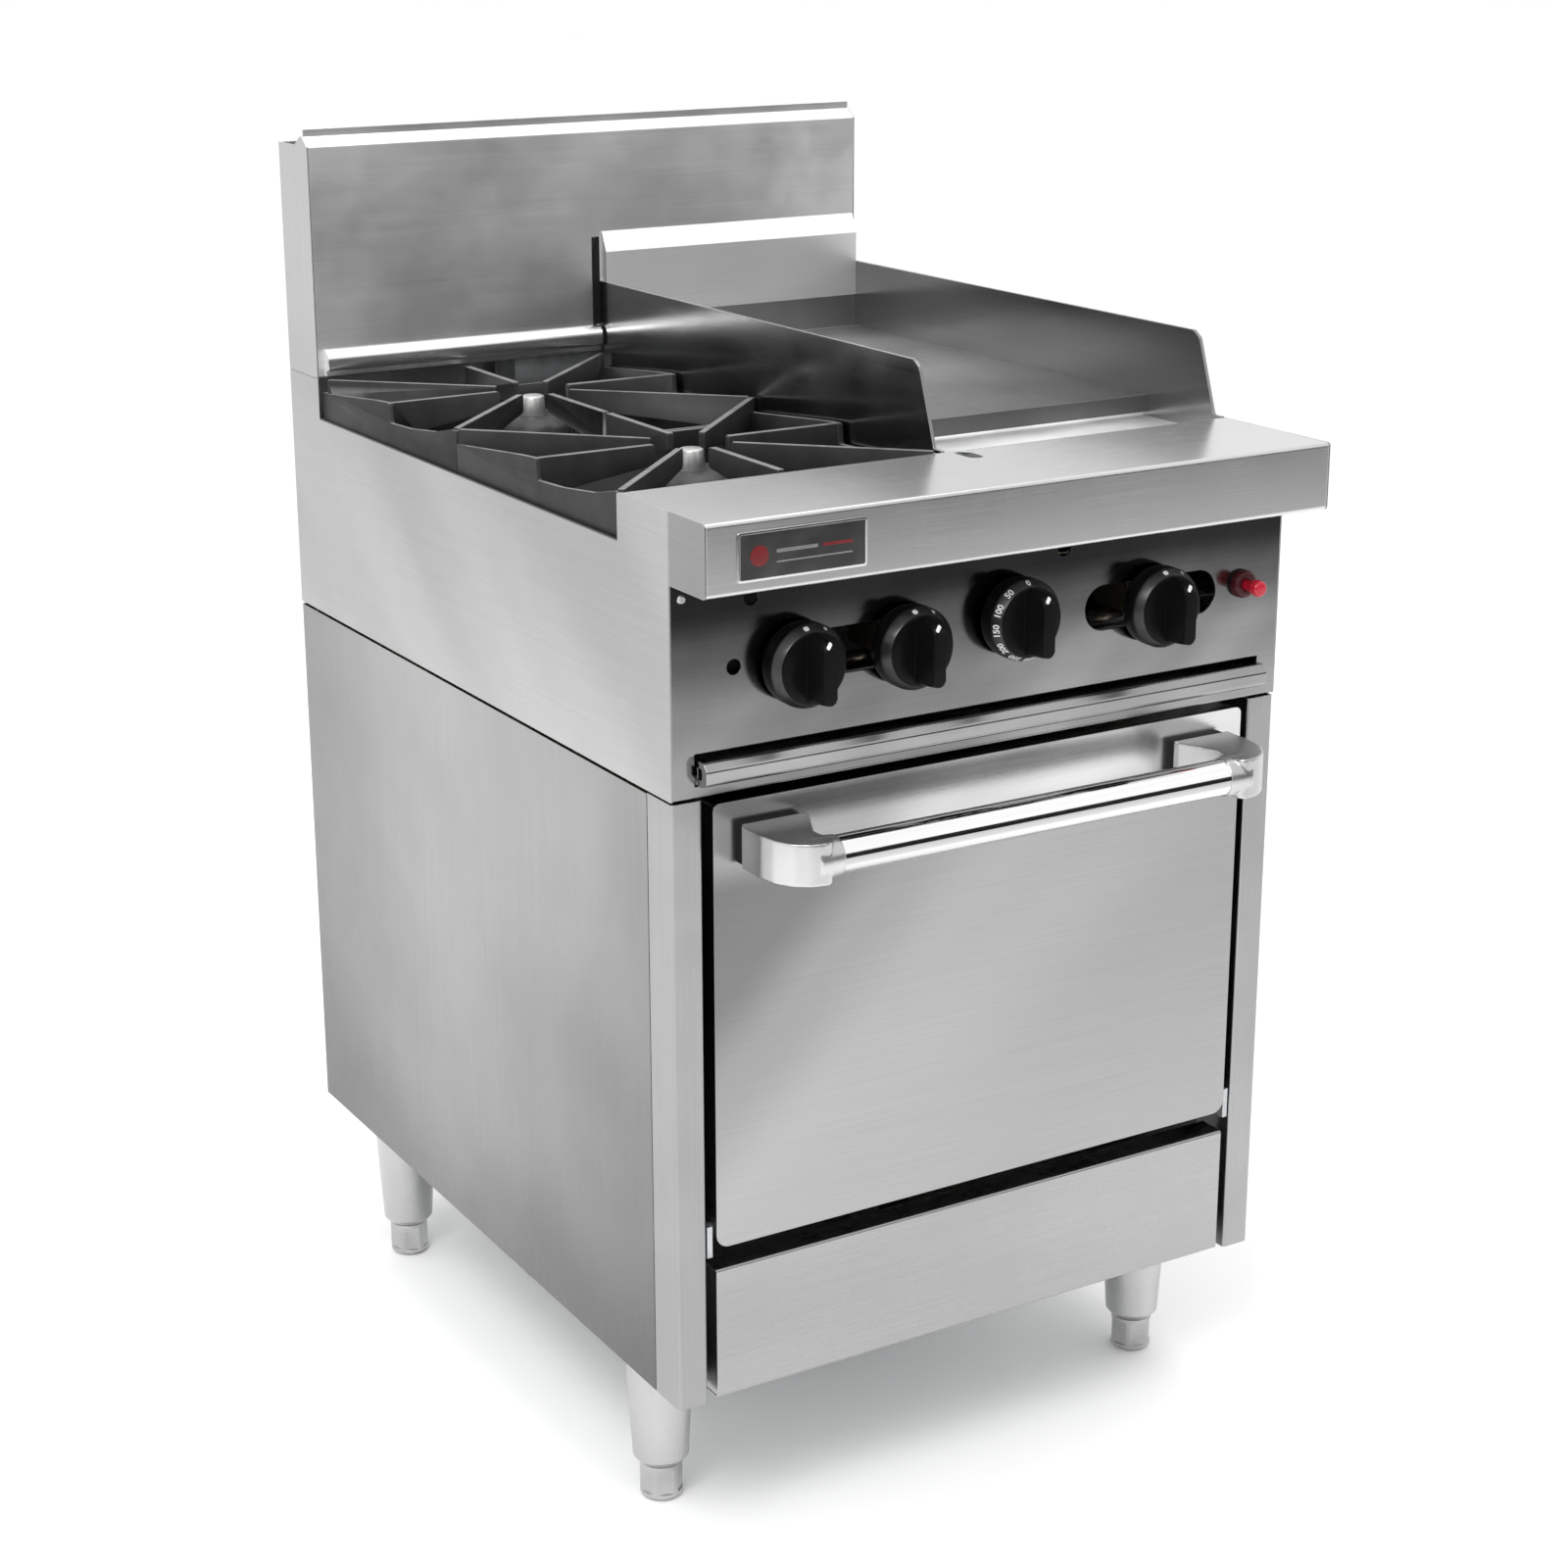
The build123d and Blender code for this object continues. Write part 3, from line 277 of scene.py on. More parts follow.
# splashback: painted shade, darker along the top lip and slightly lower down
m_splash = steel("m_splash_steel", 0.84, 0.40, "x", cloud=0.10, cloud_rot=(0, D(40), 0), cloud_scale=(2.2, 1, 9),
                 painted_light_bands=[(FLAT, 2, 0.0, [(0.92, 0.92), (1.0, 1.0), (1.1405, 1.0), (1.1412, 0.95), (1.1480, 0.85), (1.1487, 0.85), (1.1556, 0.70)])], seed=8.0)
m_shell = steel("m_shell_steel", 0.50, 0.30, "z", cloud=0.06, seed=9.0)
m_strip = steel("m_strip_steel", 0.95, 0.28, "x", cloud=0.05, smudge=0.2, rough_grain=0.01, seed=10.0)
m_guard = steel("m_guard_steel", 0.26, 0.18, "y", aniso=0.2, cloud=0.10, cloud_scale=(2, 3, 8), bump=0.004, seed=11.0)
m_back_guard = steel("m_back_guard_steel", 0.95, 0.42, "x", cloud=0.06, cloud_scale=(5, 2, 8), bump=0.004, smudge=0.3, seed=12.0)
# griddle plate: painted shade towards the front, lighter towards the back as a painted reflection; the grime is dirt
m_plate = steel("m_griddle_plate", 0.29, 0.36, "y", cloud=0.18, cloud_scale=(9, 5, 4),
                painted_light_bands=[(FLAT, 1, 0.01, [(-0.165, 0.50), (-0.10, 0.62), (0.1, 1.0), (0.335, 1.1)])], grime=0.16, edge=0.6, seed=13.0)
m_trough = steel("m_trough_steel", 0.98, 0.42, "x", cloud=0.14, cloud_scale=(12, 12, 6), grime=0.12, seed=14.0)
m_tray = steel("m_tray_steel", 0.36, 0.22, "x", cloud=0.10, cloud_scale=(9, 3, 20), edge=0.5, seed=15.0)
# handle bar: painted reflection, a darker line near the middle and a darker underside
m_tube = steel("m_bright_tube", 0.90, 0.07, "x", aniso=0.0, cloud=0.03, edge=0.1, bump=0.004, rough_grain=0.008,
               painted_light_bands=[(FLAT, 2, 0.0, [(0.628, 0.76), (0.638, 0.76), (0.6405, 0.55), (0.6455, 0.55), (0.648, 1.0)])], seed=16.0)
m_cast = steel("m_satin_cast", 0.56, 0.32, "x", aniso=0.0, cloud=0.06, cloud_scale=(22, 22, 22), edge=0.15, bump=0.02, seed=17.0)
m_leg = steel("m_leg_steel", 0.52, 0.30, "x", aniso=0.3, cloud=0.08, cloud_scale=(10, 10, 8), grime=0.10, seed=18.0)
m_foot = steel("m_foot_steel", 0.52, 0.34, "x", aniso=0.0, cloud=0.12, cloud_scale=(20, 20, 20), grime=0.2, seed=19.0)
m_screw = steel("m_screw_steel", 0.50, 0.25, "x", aniso=0.0, cloud=0.05, edge=0.3, seed=20.0)
m_galv = plain("m_galvanised", (0.50, 0.52, 0.53), 0.42, metallic=0.9, var=0.16, scale=60, bump=0.05)
m_backsheet = steel("m_back_sheet", 0.50, 0.34, "z", cloud=0.07, seed=21.0)
# grate iron: the lighter edge and top colours are partly rubbing, partly painted highlight on the lit ridges
m_grate = plain("m_grate_iron", (0.020, 0.020, 0.021), 0.55, metallic=0.0, var=0.22, scale=45, bump=0.5, bump_scale=900, bump_dist=0.0004,
                edge=0.45, radius=0.0012, spec=0.30, edge_col=(0.12, 0.12, 0.122), top_wear_and_highlight_col=(0.17, 0.17, 0.172))
m_castiron = plain("m_cast_iron", (0.05, 0.05, 0.052), 0.6, metallic=0.3, var=0.25, scale=50, bump=0.5, bump_scale=700, bump_dist=0.0005)
m_cap = plain("m_burner_cap", (0.030, 0.030, 0.031), 0.50, metallic=0.0, var=0.25, scale=60, bump=0.4, bump_scale=800, bump_dist=0.0004, spec=0.35)
m_burner = plain("m_burner_alloy", (0.52, 0.515, 0.51), 0.42, metallic=0.85, var=0.18, scale=60, bump=0.25, bump_scale=800, bump_dist=0.0003)
m_enamel = plain("m_enamel", (0.016, 0.016, 0.018), 0.30, var=0.15, scale=20, bump=0.10, bump_scale=220, bump_dist=0.0003, coat=0.2, speck=0.25, spec=0.35)
# knob plastic: edges lighter from rubbing and painted rim highlight; the copy after it is lighter and glossier, its
# lighter colour a painted highlight on the sloping ring
m_black = plain("m_black_plastic", (0.0035, 0.0035, 0.0038), 0.36, var=0.12, scale=60, bump=0.08, bump_scale=1500, bump_dist=0.0001,
                edge=0.8, radius=0.0008, spec=0.10)
m_black_lit_rim = plain("m_black_lit_rim", (0.010, 0.010, 0.0105), 0.32, var=0.12, scale=60, bump=0.08, bump_scale=1500, bump_dist=0.0001,
                    edge=0.4, radius=0.0008, spec=0.55)
m_white = plain("m_white_print", (0.66, 0.66, 0.66), 0.5, var=0.05, scale=200, bump=0.05, bump_scale=1500, bump_dist=0.0001)
m_grey_print = plain("m_grey_print", (0.30, 0.30, 0.30), 0.5, var=0.08, scale=200, bump=0.05, bump_scale=1500, bump_dist=0.0001)
m_red = plain("m_red_plastic", (0.40, 0.008, 0.022), 0.30, var=0.08, scale=90, bump=0.05, bump_scale=1200, bump_dist=0.0001, coat=0.3, spec=0.4)
m_darkred = plain("m_dark_red_plastic", (0.045, 0.002, 0.005), 0.40, var=0.1, scale=90, bump=0.08, bump_scale=1200, bump_dist=0.0001, spec=0.3)
m_badge_red = plain("m_badge_red", (0.13, 0.010, 0.012), 0.42, var=0.1, scale=90, bump=0.05, bump_scale=1200, bump_dist=0.0001, spec=0.3)
m_brass = plain("m_brass", (0.20, 0.17, 0.12), 0.38, metallic=0.9, var=0.14, scale=70, bump=0.06)
m_pipe = plain("m_black_pipe", (0.035, 0.035, 0.037), 0.45, metallic=0.3, var=0.15, scale=60, bump=0.25, bump_scale=500)
m_manifold = plain("m_manifold_steel", (0.62, 0.62, 0.63), 0.24, metallic=1.0, var=0.12, scale=60, bump=0.10, bump_scale=500)
m_alu = plain("m_aluminium_tube", (0.72, 0.73, 0.74), 0.28, metallic=1.0, var=0.06, scale=80, bump=0.04)
m_wool = plain("m_mineral_wool", (0.62, 0.55, 0.33), 0.95, var=0.25, scale=120, bump=1.0, bump_scale=350, bump_dist=0.002, spec=0.1)
m_gasket = plain("m_gasket_fibre", (0.10, 0.10, 0.105), 0.85, var=0.3, scale=300, bump=0.8, bump_scale=700, bump_dist=0.0008, spec=0.2)
m_wire = steel("m_chrome_wire", 0.78, 0.12, "x", aniso=0.0, cloud=0.04, edge=0.1, bump=0.004, seed=22.0)
m_black_spacer_and_shade = plain("m_black_spacer_and_gap_shade", (0.006, 0.006, 0.007), 0.6, var=0.15, scale=90, bump=0.2, bump_scale=900, spec=0.2)
m_badge = steel("m_badge_metal", 0.13, 0.22, "x", cloud=0.22, cloud_rot=(0, D(35), 0), cloud_scale=(22, 6, 40), edge=0.2, seed=23.0)
m_badge_rim = steel("m_badge_rim", 0.66, 0.16, "x", aniso=0.0, cloud=0.04, edge=0.2, bump=0.004, seed=24.0)
m_badge_bar = steel("m_badge_bar", 0.34, 0.30, "x", aniso=0.0, cloud=0.04, edge=0.2, bump=0.004, seed=25.0)

LOOK = {
    "back_panel": m_backsheet, "base_panel": m_galv, "burner_bodies": m_castiron, "burner_heads": m_burner,
    "control_panel": m_panel, "crumb_tray": m_tray, "door_gasket": m_gasket, "door_insulation": m_wool,
    "door_liner": m_enamel, "door_posts": m_post, "door_skin": m_door,
    "foot_front_left": m_foot, "foot_front_right": m_foot, "foot_rear_left": m_foot, "foot_rear_right": m_foot,
    "front_rail": m_rail, "gas_manifold": m_manifold, "gas_tubes": m_alu, "grate_front": m_grate, "grate_rear": m_grate,
    "grease_box": m_tray, "grease_chute": m_galv, "grease_trough": m_trough, "griddle_back_guard": m_back_guard,
    "griddle_burner": m_castiron, "griddle_plate": m_plate, "griddle_side_guards": m_guard, "handle_bar": m_tube,
    "handle_brackets": m_cast, "hinge_arms": m_galv, "hinge_brackets": m_galv, "hob_side_panels": m_hobside,
    "hob_well": m_enamel, "igniter_body": m_darkred, "igniter_button": m_red, "kick_panel": m_kick,
    "knob_1": m_black, "knob_2": m_black, "knob_3": m_black, "knob_4": m_black, "legs": m_leg, "nameplate": m_badge,
    "oven_burner": m_castiron, "oven_flue_duct": m_galv, "oven_insulation": m_wool, "oven_liner": m_enamel,
    "oven_racks": m_wire, "oven_sole_plate": m_enamel, "oven_thermostat": m_brass, "panel_screws": m_screw,
    "rack_supports": m_wire, "side_panels_lower": m_side, "splash_base_strip": m_strip, "splashback_face": m_splash,
    "splashback_shell": m_shell, "tap_bodies": m_brass, "tap_stem_1": m_brass, "tap_stem_2": m_brass,
    "tap_stem_3": m_brass, "tap_stem_4": m_brass,
}
for name_, ob in nodes.items():
    m = LOOK[name_]
    if not ob.material_slots:
        ob.data.materials.append(m)
    for s in ob.material_slots:
        s.material = m


# ================================================================= mesh kit
def new_obj(name, bm, mat, smooth_angle=40):
    bmesh.ops.recalc_face_normals(bm, faces=bm.faces[:])
    me = bpy.data.meshes.new(name)
    bm.to_mesh(me)
    bm.free()
    ob = bpy.data.objects.new(name, me)
    bpy.context.scene.collection.objects.link(ob)
    if mat is not None:
        me.materials.append(mat)
    set_smooth(ob, smooth_angle)
    return ob


def set_smooth(ob, angle=40):
    me = ob.data
    for p in me.polygons:
        p.use_smooth = True
    if angle < 180:
        me.set_sharp_from_angle(angle=math.radians(angle))


def applied(ob):
    """Replace the mesh with its modifiers' result."""
    dg = bpy.context.evaluated_depsgraph_get()
    me = bpy.data.meshes.new_from_object(ob.evaluated_get(dg))
    old = ob.data
    ob.modifiers.clear()
    ob.data = me
    bpy.data.meshes.remove(old)
    return ob


def drop(ob):
    me = ob.data
    bpy.data.objects.remove(ob)
    bpy.data.meshes.remove(me)


def boolean(ob, other, op):
    md = ob.modifiers.new("b", "BOOLEAN")
    md.operation = op
    md.solver = "EXACT"
    md.object = other
    bpy.context.view_layer.update()
    applied(ob)
    drop(other)
    return ob


def lathe(bm, prof, origin, axis="y", seg=96):
    """Revolve (radius, position along the axis) points round an axis through origin (mm)."""
    rings = []
    for r, a in prof:
        if r < 1e-6:
            rings.append([bm.verts.new(place(origin, axis, 0, 0, a))])
        else:
            rings.append([bm.verts.new(place(origin, axis, r * math.cos(2 * math.pi * i / seg), r * math.sin(2 * math.pi * i / seg), a))
                          for i in range(seg)])
    for a, b in zip(rings, rings[1:]):
        for i in range(seg):
            j = (i + 1) % seg
            if len(a) == 1 and len(b) == 1:
                continue
            if len(a) == 1:
                bm.faces.new((a[0], b[i], b[j]))
            elif len(b) == 1:
                bm.faces.new((a[i], b[0], a[j]))
            else:
                bm.faces.new((a[i], b[i], b[j], a[j]))


def place(o, axis, u, v, a):
    if axis == "y":
        return M(o[0] + u, a, o[2] + v)
    if axis == "x":
        return M(a, o[1] + u, o[2] + v)
    return M(o[0] + u, o[1] + v, a)


def prism(bm, pts, h0, h1, axis="y"):
    """Closed prism of a 2-D outline between two positions along an axis (mm)."""
    def at(p, h):
        if axis == "y":
            return M(p[0], h, p[1])
        if axis == "x":
            return M(h, p[0], p[1])
        return M(p[0], p[1], h)
    a = [bm.verts.new(at(p, h0)) for p in pts]
    b = [bm.verts.new(at(p, h1)) for p in pts]
    bm.faces.new(a)
    bm.faces.new(b[::-1])
    n = len(pts)
    for i in range(n):
        j = (i + 1) % n
        bm.faces.new((a[i], a[j], b[j], b[i]))
    return a, b


def round_pts(pts, radii, seg=6):
    """Outline with rounded corners as a list of points."""
    n = len(pts)
    if not isinstance(radii, (list, tuple)):
        radii = [radii] * n
    out = []
    for i in range(n):
        p, a, b = Vector(pts[i]), Vector(pts[i - 1]), Vector(pts[(i + 1) % n])
        r = radii[i]
        if r <= 0:
            out.append(tuple(p))
            continue
        u, v = (a - p).normalized(), (b - p).normalized()
        ang = u.angle(v)
        d = r / math.tan(ang / 2)
        c = p + (u + v).normalized() * (r / math.sin(ang / 2))
        s, e = p + u * d, p + v * d
        a0 = math.atan2((s - c).y, (s - c).x)
        a1 = math.atan2((e - c).y, (e - c).x)
        da = (a1 - a0 + math.pi) % (2 * math.pi) - math.pi
        for k in range(seg + 1):
            t = a0 + da * k / seg
            out.append((c.x + r * math.cos(t), c.y + r * math.sin(t)))
    return out


def bevel_all(bm, width, seg=3, angle=25):
    es = [e for e in bm.edges if len(e.link_faces) == 2 and e.calc_face_angle(0) > math.radians(angle)]
    bmesh.ops.bevel(bm, geom=es, offset=width / 1000, offset_type="OFFSET", segments=seg, profile=0.6, affect="EDGES", clamp_overlap=True)


def mirrored(ob, name):
    me = ob.data.copy()
    me.transform(Matrix.Scale(-1, 4, (1, 0, 0)))
    me.flip_normals()
    o = bpy.data.objects.new(name, me)
    bpy.context.scene.collection.objects.link(o)
    return o


# ==================================================================== knobs
KX = {1: -191.0, 2: -89.0, 3: 18.0, 4: 164.0}
KZ = {1: 786.5, 2: 786.5, 3: 795.5, 4: 786.5}
KNOB_PROF = [(0, -797.0), (20, -797.0), (28.2, -796.95), (29.1, -796.7), (29.8, -796.2), (30.3, -795.6), (34.1, -789.7), (34.5, -788.9),
             (34.7, -787.9), (34.7, -777.2), (34.5, -775.6), (34.0, -773.6), (33.4, -772.4), (32.8, -772.0),
             (10.6, -772.0), (10.0, -772.5), (10.0, -777.5), (0, -777.5)]


def on_cone(x, z, ang, s_, off):
    """Point on the sloping ring of a knob: s_ along the slope, off above it (mm)."""
    rr = 32.25 + 0.541 * s_ + 0.841 * off
    yy = -792.65 + 0.841 * s_ - 0.541 * off
    return M(x + rr * math.sin(ang), yy, z + rr * math.cos(ang))


for k in (1, 2, 3, 4):
    x, z = KX[k], KZ[k]
    bm = bmesh.new()
    lathe(bm, KNOB_PROF, (x, 0, z), "y", 96)
    ob = new_obj(f"knob_{k}_moulding", bm, m_black, 32)
    # grip bar: wider at the disc, rounded nose, slanted top
    bm = bmesh.new()
    rows = [(-792.0, 8.2, -28.4, 28.6), (-797.5, 7.4, -27.8, 28.3), (-804.0, 6.8, -27.0, 27.8), (-812.0, 6.4, -26.2, 27.0),
            (-816.5, 6.2, -25.7, 26.1), (-819.5, 6.1, -25.3, 23.6), (-821.9, 5.9, -24.9, 21.2)]
    rings = []
    for y, w, zl, zh in rows:
        pts = round_pts([(-w, zl), (w, zl), (w * 0.93, zh), (-w * 0.93, zh)], [w * 0.75, w * 0.75, w * 0.6, w * 0.6], 6)
        rings.append([bm.verts.new(M(x + px, y, z + pz)) for px, pz in pts])
    for a, b in zip(rings, rings[1:]):
        for i in range(len(a)):
            j = (i + 1) % len(a)
            bm.faces.new((a[i], a[j], b[j], b[i]))
    bm.faces.new(rings[0][::-1])
    top = bm.faces.new(rings[-1])
    bmesh.ops.bevel(bm, geom=list(top.edges), offset=0.0016, segments=4, profile=0.6, affect="EDGES", clamp_overlap=True)
    grip = new_obj("grip", bm, m_black, 32)
    boolean(ob, grip, "UNION")
    bm = bmesh.new()
    pts = []
    for i in range(48):
        a = 2 * math.pi * i / 48
        pts.append((x + 4.06 * math.cos(a), z + min(4.06 * math.sin(a), 2.66)))
    prism(bm, pts, -770.0, -800.0, "y")
    boolean(ob, new_obj("bore", bm, m_black, 32), "DIFFERENCE")
    ob.data.materials.clear()
    ob.data.materials.append(m_black)
    ob.data.materials.append(m_black_lit_rim)
    # faces of the sloping ring and outer rim take the lighter, glossier copy: painted highlight on the ring
    for f in ob.data.polygons:
        c = f.center
        rad = math.hypot(c.x - x / 1000, c.z - z / 1000) * 1000
        f.material_index = 1 if rad > 30.0 and c.y < M(0, -786, 0).y else 0
    set_smooth(ob, 32)
    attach(ob, f"knob_{k}")
    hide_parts(f"knob_{k}")
    # white index lying across the slanted top of the bar
    bm = bmesh.new()
    ca, sa = math.cos(math.radians(34)), math.sin(math.radians(34))
    va, vb = [], []
    for px, pz in round_pts([(-3.3, -1.2), (3.3, -1.2), (3.3, 1.2), (-3.3, 1.2)], 1.1, 6):
        qx, qz = -0.6 + px * ca - pz * sa, 23.2 + px * sa + pz * ca
        yy = -822.0 + max(0.0, qz - 21.2) * 1.12
        va.append(bm.verts.new(M(x + qx, yy + 0.5, z + qz)))
        vb.append(bm.verts.new(M(x + qx, yy - 0.25, z + qz + 0.2)))
    bm.faces.new(va)
    bm.faces.new(vb[::-1])
    for q in range(len(va)):
        r_ = (q + 1) % len(va)
        bm.faces.new((va[q], va[r_], vb[r_], vb[q]))
    ix = new_obj(f"knob_{k}_index", bm, m_white, 40)
    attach(ix, f"knob_{k}")
    # two small marks on the top of the sloping ring
    for i, (ang, w_, m_) in enumerate(((-9.0, 2.2, m_white), (23.0, 1.7, m_grey_print))) if k != 3 else []:
        bm = bmesh.new()
        va, vb = [], []
        for px, pz in round_pts([(-w_, -w_), (w_, -w_), (w_, w_), (-w_, w_)], w_ * 0.7, 4):
            t = math.radians(ang) + px / 32.0
            va.append(bm.verts.new(on_cone(x, z, t, pz, -0.05)))
            vb.append(bm.verts.new(on_cone(x, z, t, pz, 0.18)))
        bm.faces.new(va)
        bm.faces.new(vb[::-1])
        for q in range(len(va)):
            r_ = (q + 1) % len(va)
            bm.faces.new((va[q], va[r_], vb[r_], vb[q]))
        mk = new_obj(f"knob_{k}_mark_{i + 1}", bm, m_, 40)
        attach(mk, f"knob_{k}")


def text_mesh(body, size):
    """Numerals as a flat closed mesh, in its own XY plane, centred (mm)."""
    cu = bpy.data.curves.new("t", "FONT")
    cu.body = body
    cu.size = size
    cu.align_x = "CENTER"
    cu.align_y = "CENTER"
    cu.extrude = 0.12
    cu.offset = 0.16
    cu.resolution_u = 3
    ob = bpy.data.objects.new("t", cu)
    bpy.context.scene.collection.objects.link(ob)
    bpy.context.view_layer.update()
    me = bpy.data.meshes.new_from_object(ob.evaluated_get(bpy.context.evaluated_depsgraph_get()))
    bpy.data.objects.remove(ob)
    bpy.data.curves.remove(cu)
    return me


# dial of the thermostat: numerals bent round the sloping ring of the skirt
bm_all = bmesh.new()
x, z = KX[3], KZ[3]
dial = [("0", -2), ("50", -38), ("100", -68), ("150", -98), ("200", -128), ("250", -156), ("300", 176)]
for txt, ang in dial:
    me = text_mesh(txt, 7.8)
    b2 = bmesh.new()
    b2.from_mesh(me)
    bpy.data.meshes.remove(me)
    for v in b2.verts:
        v.co = on_cone(x, z, math.radians(ang) + v.co.x / 32.4, v.co.y, v.co.z)
    tmp = bpy.data.meshes.new("tmp")
    b2.to_mesh(tmp)
    b2.free()
    bm_all.from_mesh(tmp)
    bpy.data.meshes.remove(tmp)
bmesh.ops.remove_doubles(bm_all, verts=bm_all.verts[:], dist=1e-7)
dl = new_obj("knob_3_dial_numbers", bm_all, m_white, 40)
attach(dl, "knob_3")

# ========================================================= handle brackets
BY, BZ = -833.0, 643.0


def cast_bracket():
    """Left-hand casting: barrel round the tube end, wedge back to its base."""
    bm = bmesh.new()
    # short ferrule tapering towards the tube
    lathe(bm, [(0, -216), (17.9, -216), (17.9, -207), (17.4, -202), (16.7, -193.2), (0, -193.2)], (0, BY, BZ), "x", 64)
    barrel = new_obj("bracket_left", bm, m_cast)
    bm = bmesh.new()
    plan = round_pts([(-247, -777.05), (-247.5, -808), (-244.5, -825), (-236, -839), (-222, -848.5), (-203.5, -850.6), (-203.5, -833),
                      (-204.5, -818), (-187.6, -783), (-187, -777.05)], [0, 26, 16, 18, 24, 7, 3, 6, 3, 0], 6)
    va = [bm.verts.new(M(p[0], p[1], BZ - 18.9 + 1.4 * min(1, (-777 - p[1]) / 56.0))) for p in plan]
    vb = [bm.verts.new(M(p[0], p[1], BZ + 18.9 - 1.4 * min(1, (-777 - p[1]) / 56.0))) for p in plan]
    bm.faces.new(va)
    bm.faces.new(vb[::-1])
    for i in range(len(plan)):
        j = (i + 1) % len(plan)
        bm.faces.new((va[i], va[j], vb[j], vb[i]))
    bm.faces.ensure_lookup_table()
    es = [e for e in bm.edges if abs(e.verts[0].co.z - e.verts[1].co.z) < 0.004 and
          not (e.verts[0].co.y > M(0, -779, 0).y and e.verts[1].co.y > M(0, -779, 0).y)]
    bmesh.ops.bevel(bm, geom=es, offset=0.0040, segments=4, profile=0.5, affect="EDGES", clamp_overlap=True)
    wedge = new_obj("wedge", bm, m_cast)
    ob = boolean(barrel, wedge, "UNION")
    rm = ob.modifiers.new("r", "REMESH")
    rm.mode = "VOXEL"
    rm.voxel_size = 0.00085
    sm = ob.modifiers.new("s", "SMOOTH")
    sm.factor = 0.5
    sm.iterations = 7
    bpy.context.view_layer.update()
    applied(ob)
    # flat foot again, bored for the tube
    bm = bmesh.new()
    prism(bm, [(-260, -777.0), (-180, -777.0), (-180, -760), (-260, -760)], 600, 690, "z")
    boolean(ob, new_obj("cut", bm, m_cast), "DIFFERENCE")
    bm = bmesh.new()
    lathe(bm, [(0, -208.2), (15.93, -208.2), (15.93, -186.0), (0, -186.0)], (0, BY, BZ), "x", 64)
    boolean(ob, new_obj("bore", bm, m_cast), "DIFFERENCE")
    ob.data.materials.clear()
    ob.data.materials.append(m_cast)
    set_smooth(ob, 45)
    return ob


br_l = cast_bracket()
br_l.name = "handle_bracket_left"
br_r = mirrored(br_l, "handle_bracket_right")
for o in (br_l, br_r):
    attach(o, "oven_door")
    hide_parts("handle_brackets")
for sx, nm in ((-1, "left"), (1, "right")):
    bm = bmesh.new()
    a, b = sorted((sx * 188.2, sx * 245.8))
    prism(bm, round_pts([(a, BZ - 17.4), (b, BZ - 17.4), (b, BZ + 17.4), (a, BZ + 17.4)], 3.0, 5), -769.02, -776.98, "y")
    bevel_all(bm, 0.5, 2, 60)
    sp = new_obj(f"handle_spacer_{nm}", bm, m_black_spacer_and_shade, 40)
    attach(sp, "oven_door")
    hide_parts("handle_brackets")


# ================================================= cast pot supports, heads
def softened(node, name, width, seg, mat, angle=28):
    """Copy of a CAD node's shape with real rounded edges."""
    bm = bmesh.new()
    bm.from_mesh(nodes[node].data)
    bmesh.ops.remove_doubles(bm, verts=bm.verts[:], dist=2e-6)
    bmesh.ops.dissolve_limit(bm, angle_limit=math.radians(1.0), verts=bm.verts[:], edges=bm.edges[:])
    bevel_all(bm, width, seg, angle)
    ob = new_obj(name, bm, mat, 50)
    return ob


for nd, body in (("grate_rear", "rear_grate"), ("grate_front", "front_grate")):
    g = softened(nd, nd + "_casting", 1.0, 2, m_grate)
    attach(g, body)
    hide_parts(nd)

# burner caps with a bright centre
for i, y in enumerate((-227.0, -532.0)):
    for nm, m_, prof in (("cap", m_cap, [(0, 868.6), (29.8, 868.6), (29.8, 876.0), (43.6, 876.0), (44.0, 876.8), (42.4, 887.6), (41.6, 889.4),
                                         (40.0, 890.8), (31.0, 895.4), (29.0, 896.0), (14.2, 896.0), (12.9, 895.2), (0, 895.2)]),
                         ("pin", m_burner, [(0, 894.8), (12.4, 894.8), (12.5, 895.4), (11.2, 911.8), (10.6, 913.2), (9.2, 914.0), (0, 914.0)])):
        bm = bmesh.new()
        lathe(bm, prof, (-152.0, y, 0), "z", 72)
        hd = new_obj(f"burner_{i + 1}_{nm}", bm, m_, 30)
        if nm == "cap":
            # flame ports round the side
            bm = bmesh.new()
            for k in range(36):
                t = math.radians(10 * k + 5)
                d_ = Vector((math.cos(t), math.sin(t), 0))
                c_ = M(-152.0, y, 882.0) + d_ * 0.0405
                s_ = d_.cross(Vector((0, 0, 1)))
                ring = [[bm.verts.new(c_ + d_ * e * 0.006 + s_ * 0.0011 * math.cos(q) + Vector((0, 0, 1)) * 0.0026 * math.sin(q))
                         for q in [math.pi * j / 4 for j in range(8)]] for e in (-1, 1)]
                bm.faces.new(ring[0])
                bm.faces.new(ring[1][::-1])
                for j in range(8):
                    bm.faces.new((ring[0][j], ring[0][(j + 1) % 8], ring[1][(j + 1) % 8], ring[1][j]))
            boolean(hd, new_obj("ports", bm, m_cap), "DIFFERENCE")
            set_smooth(hd, 30)
        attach(hd, "cabinet")
        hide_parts("burner_heads")

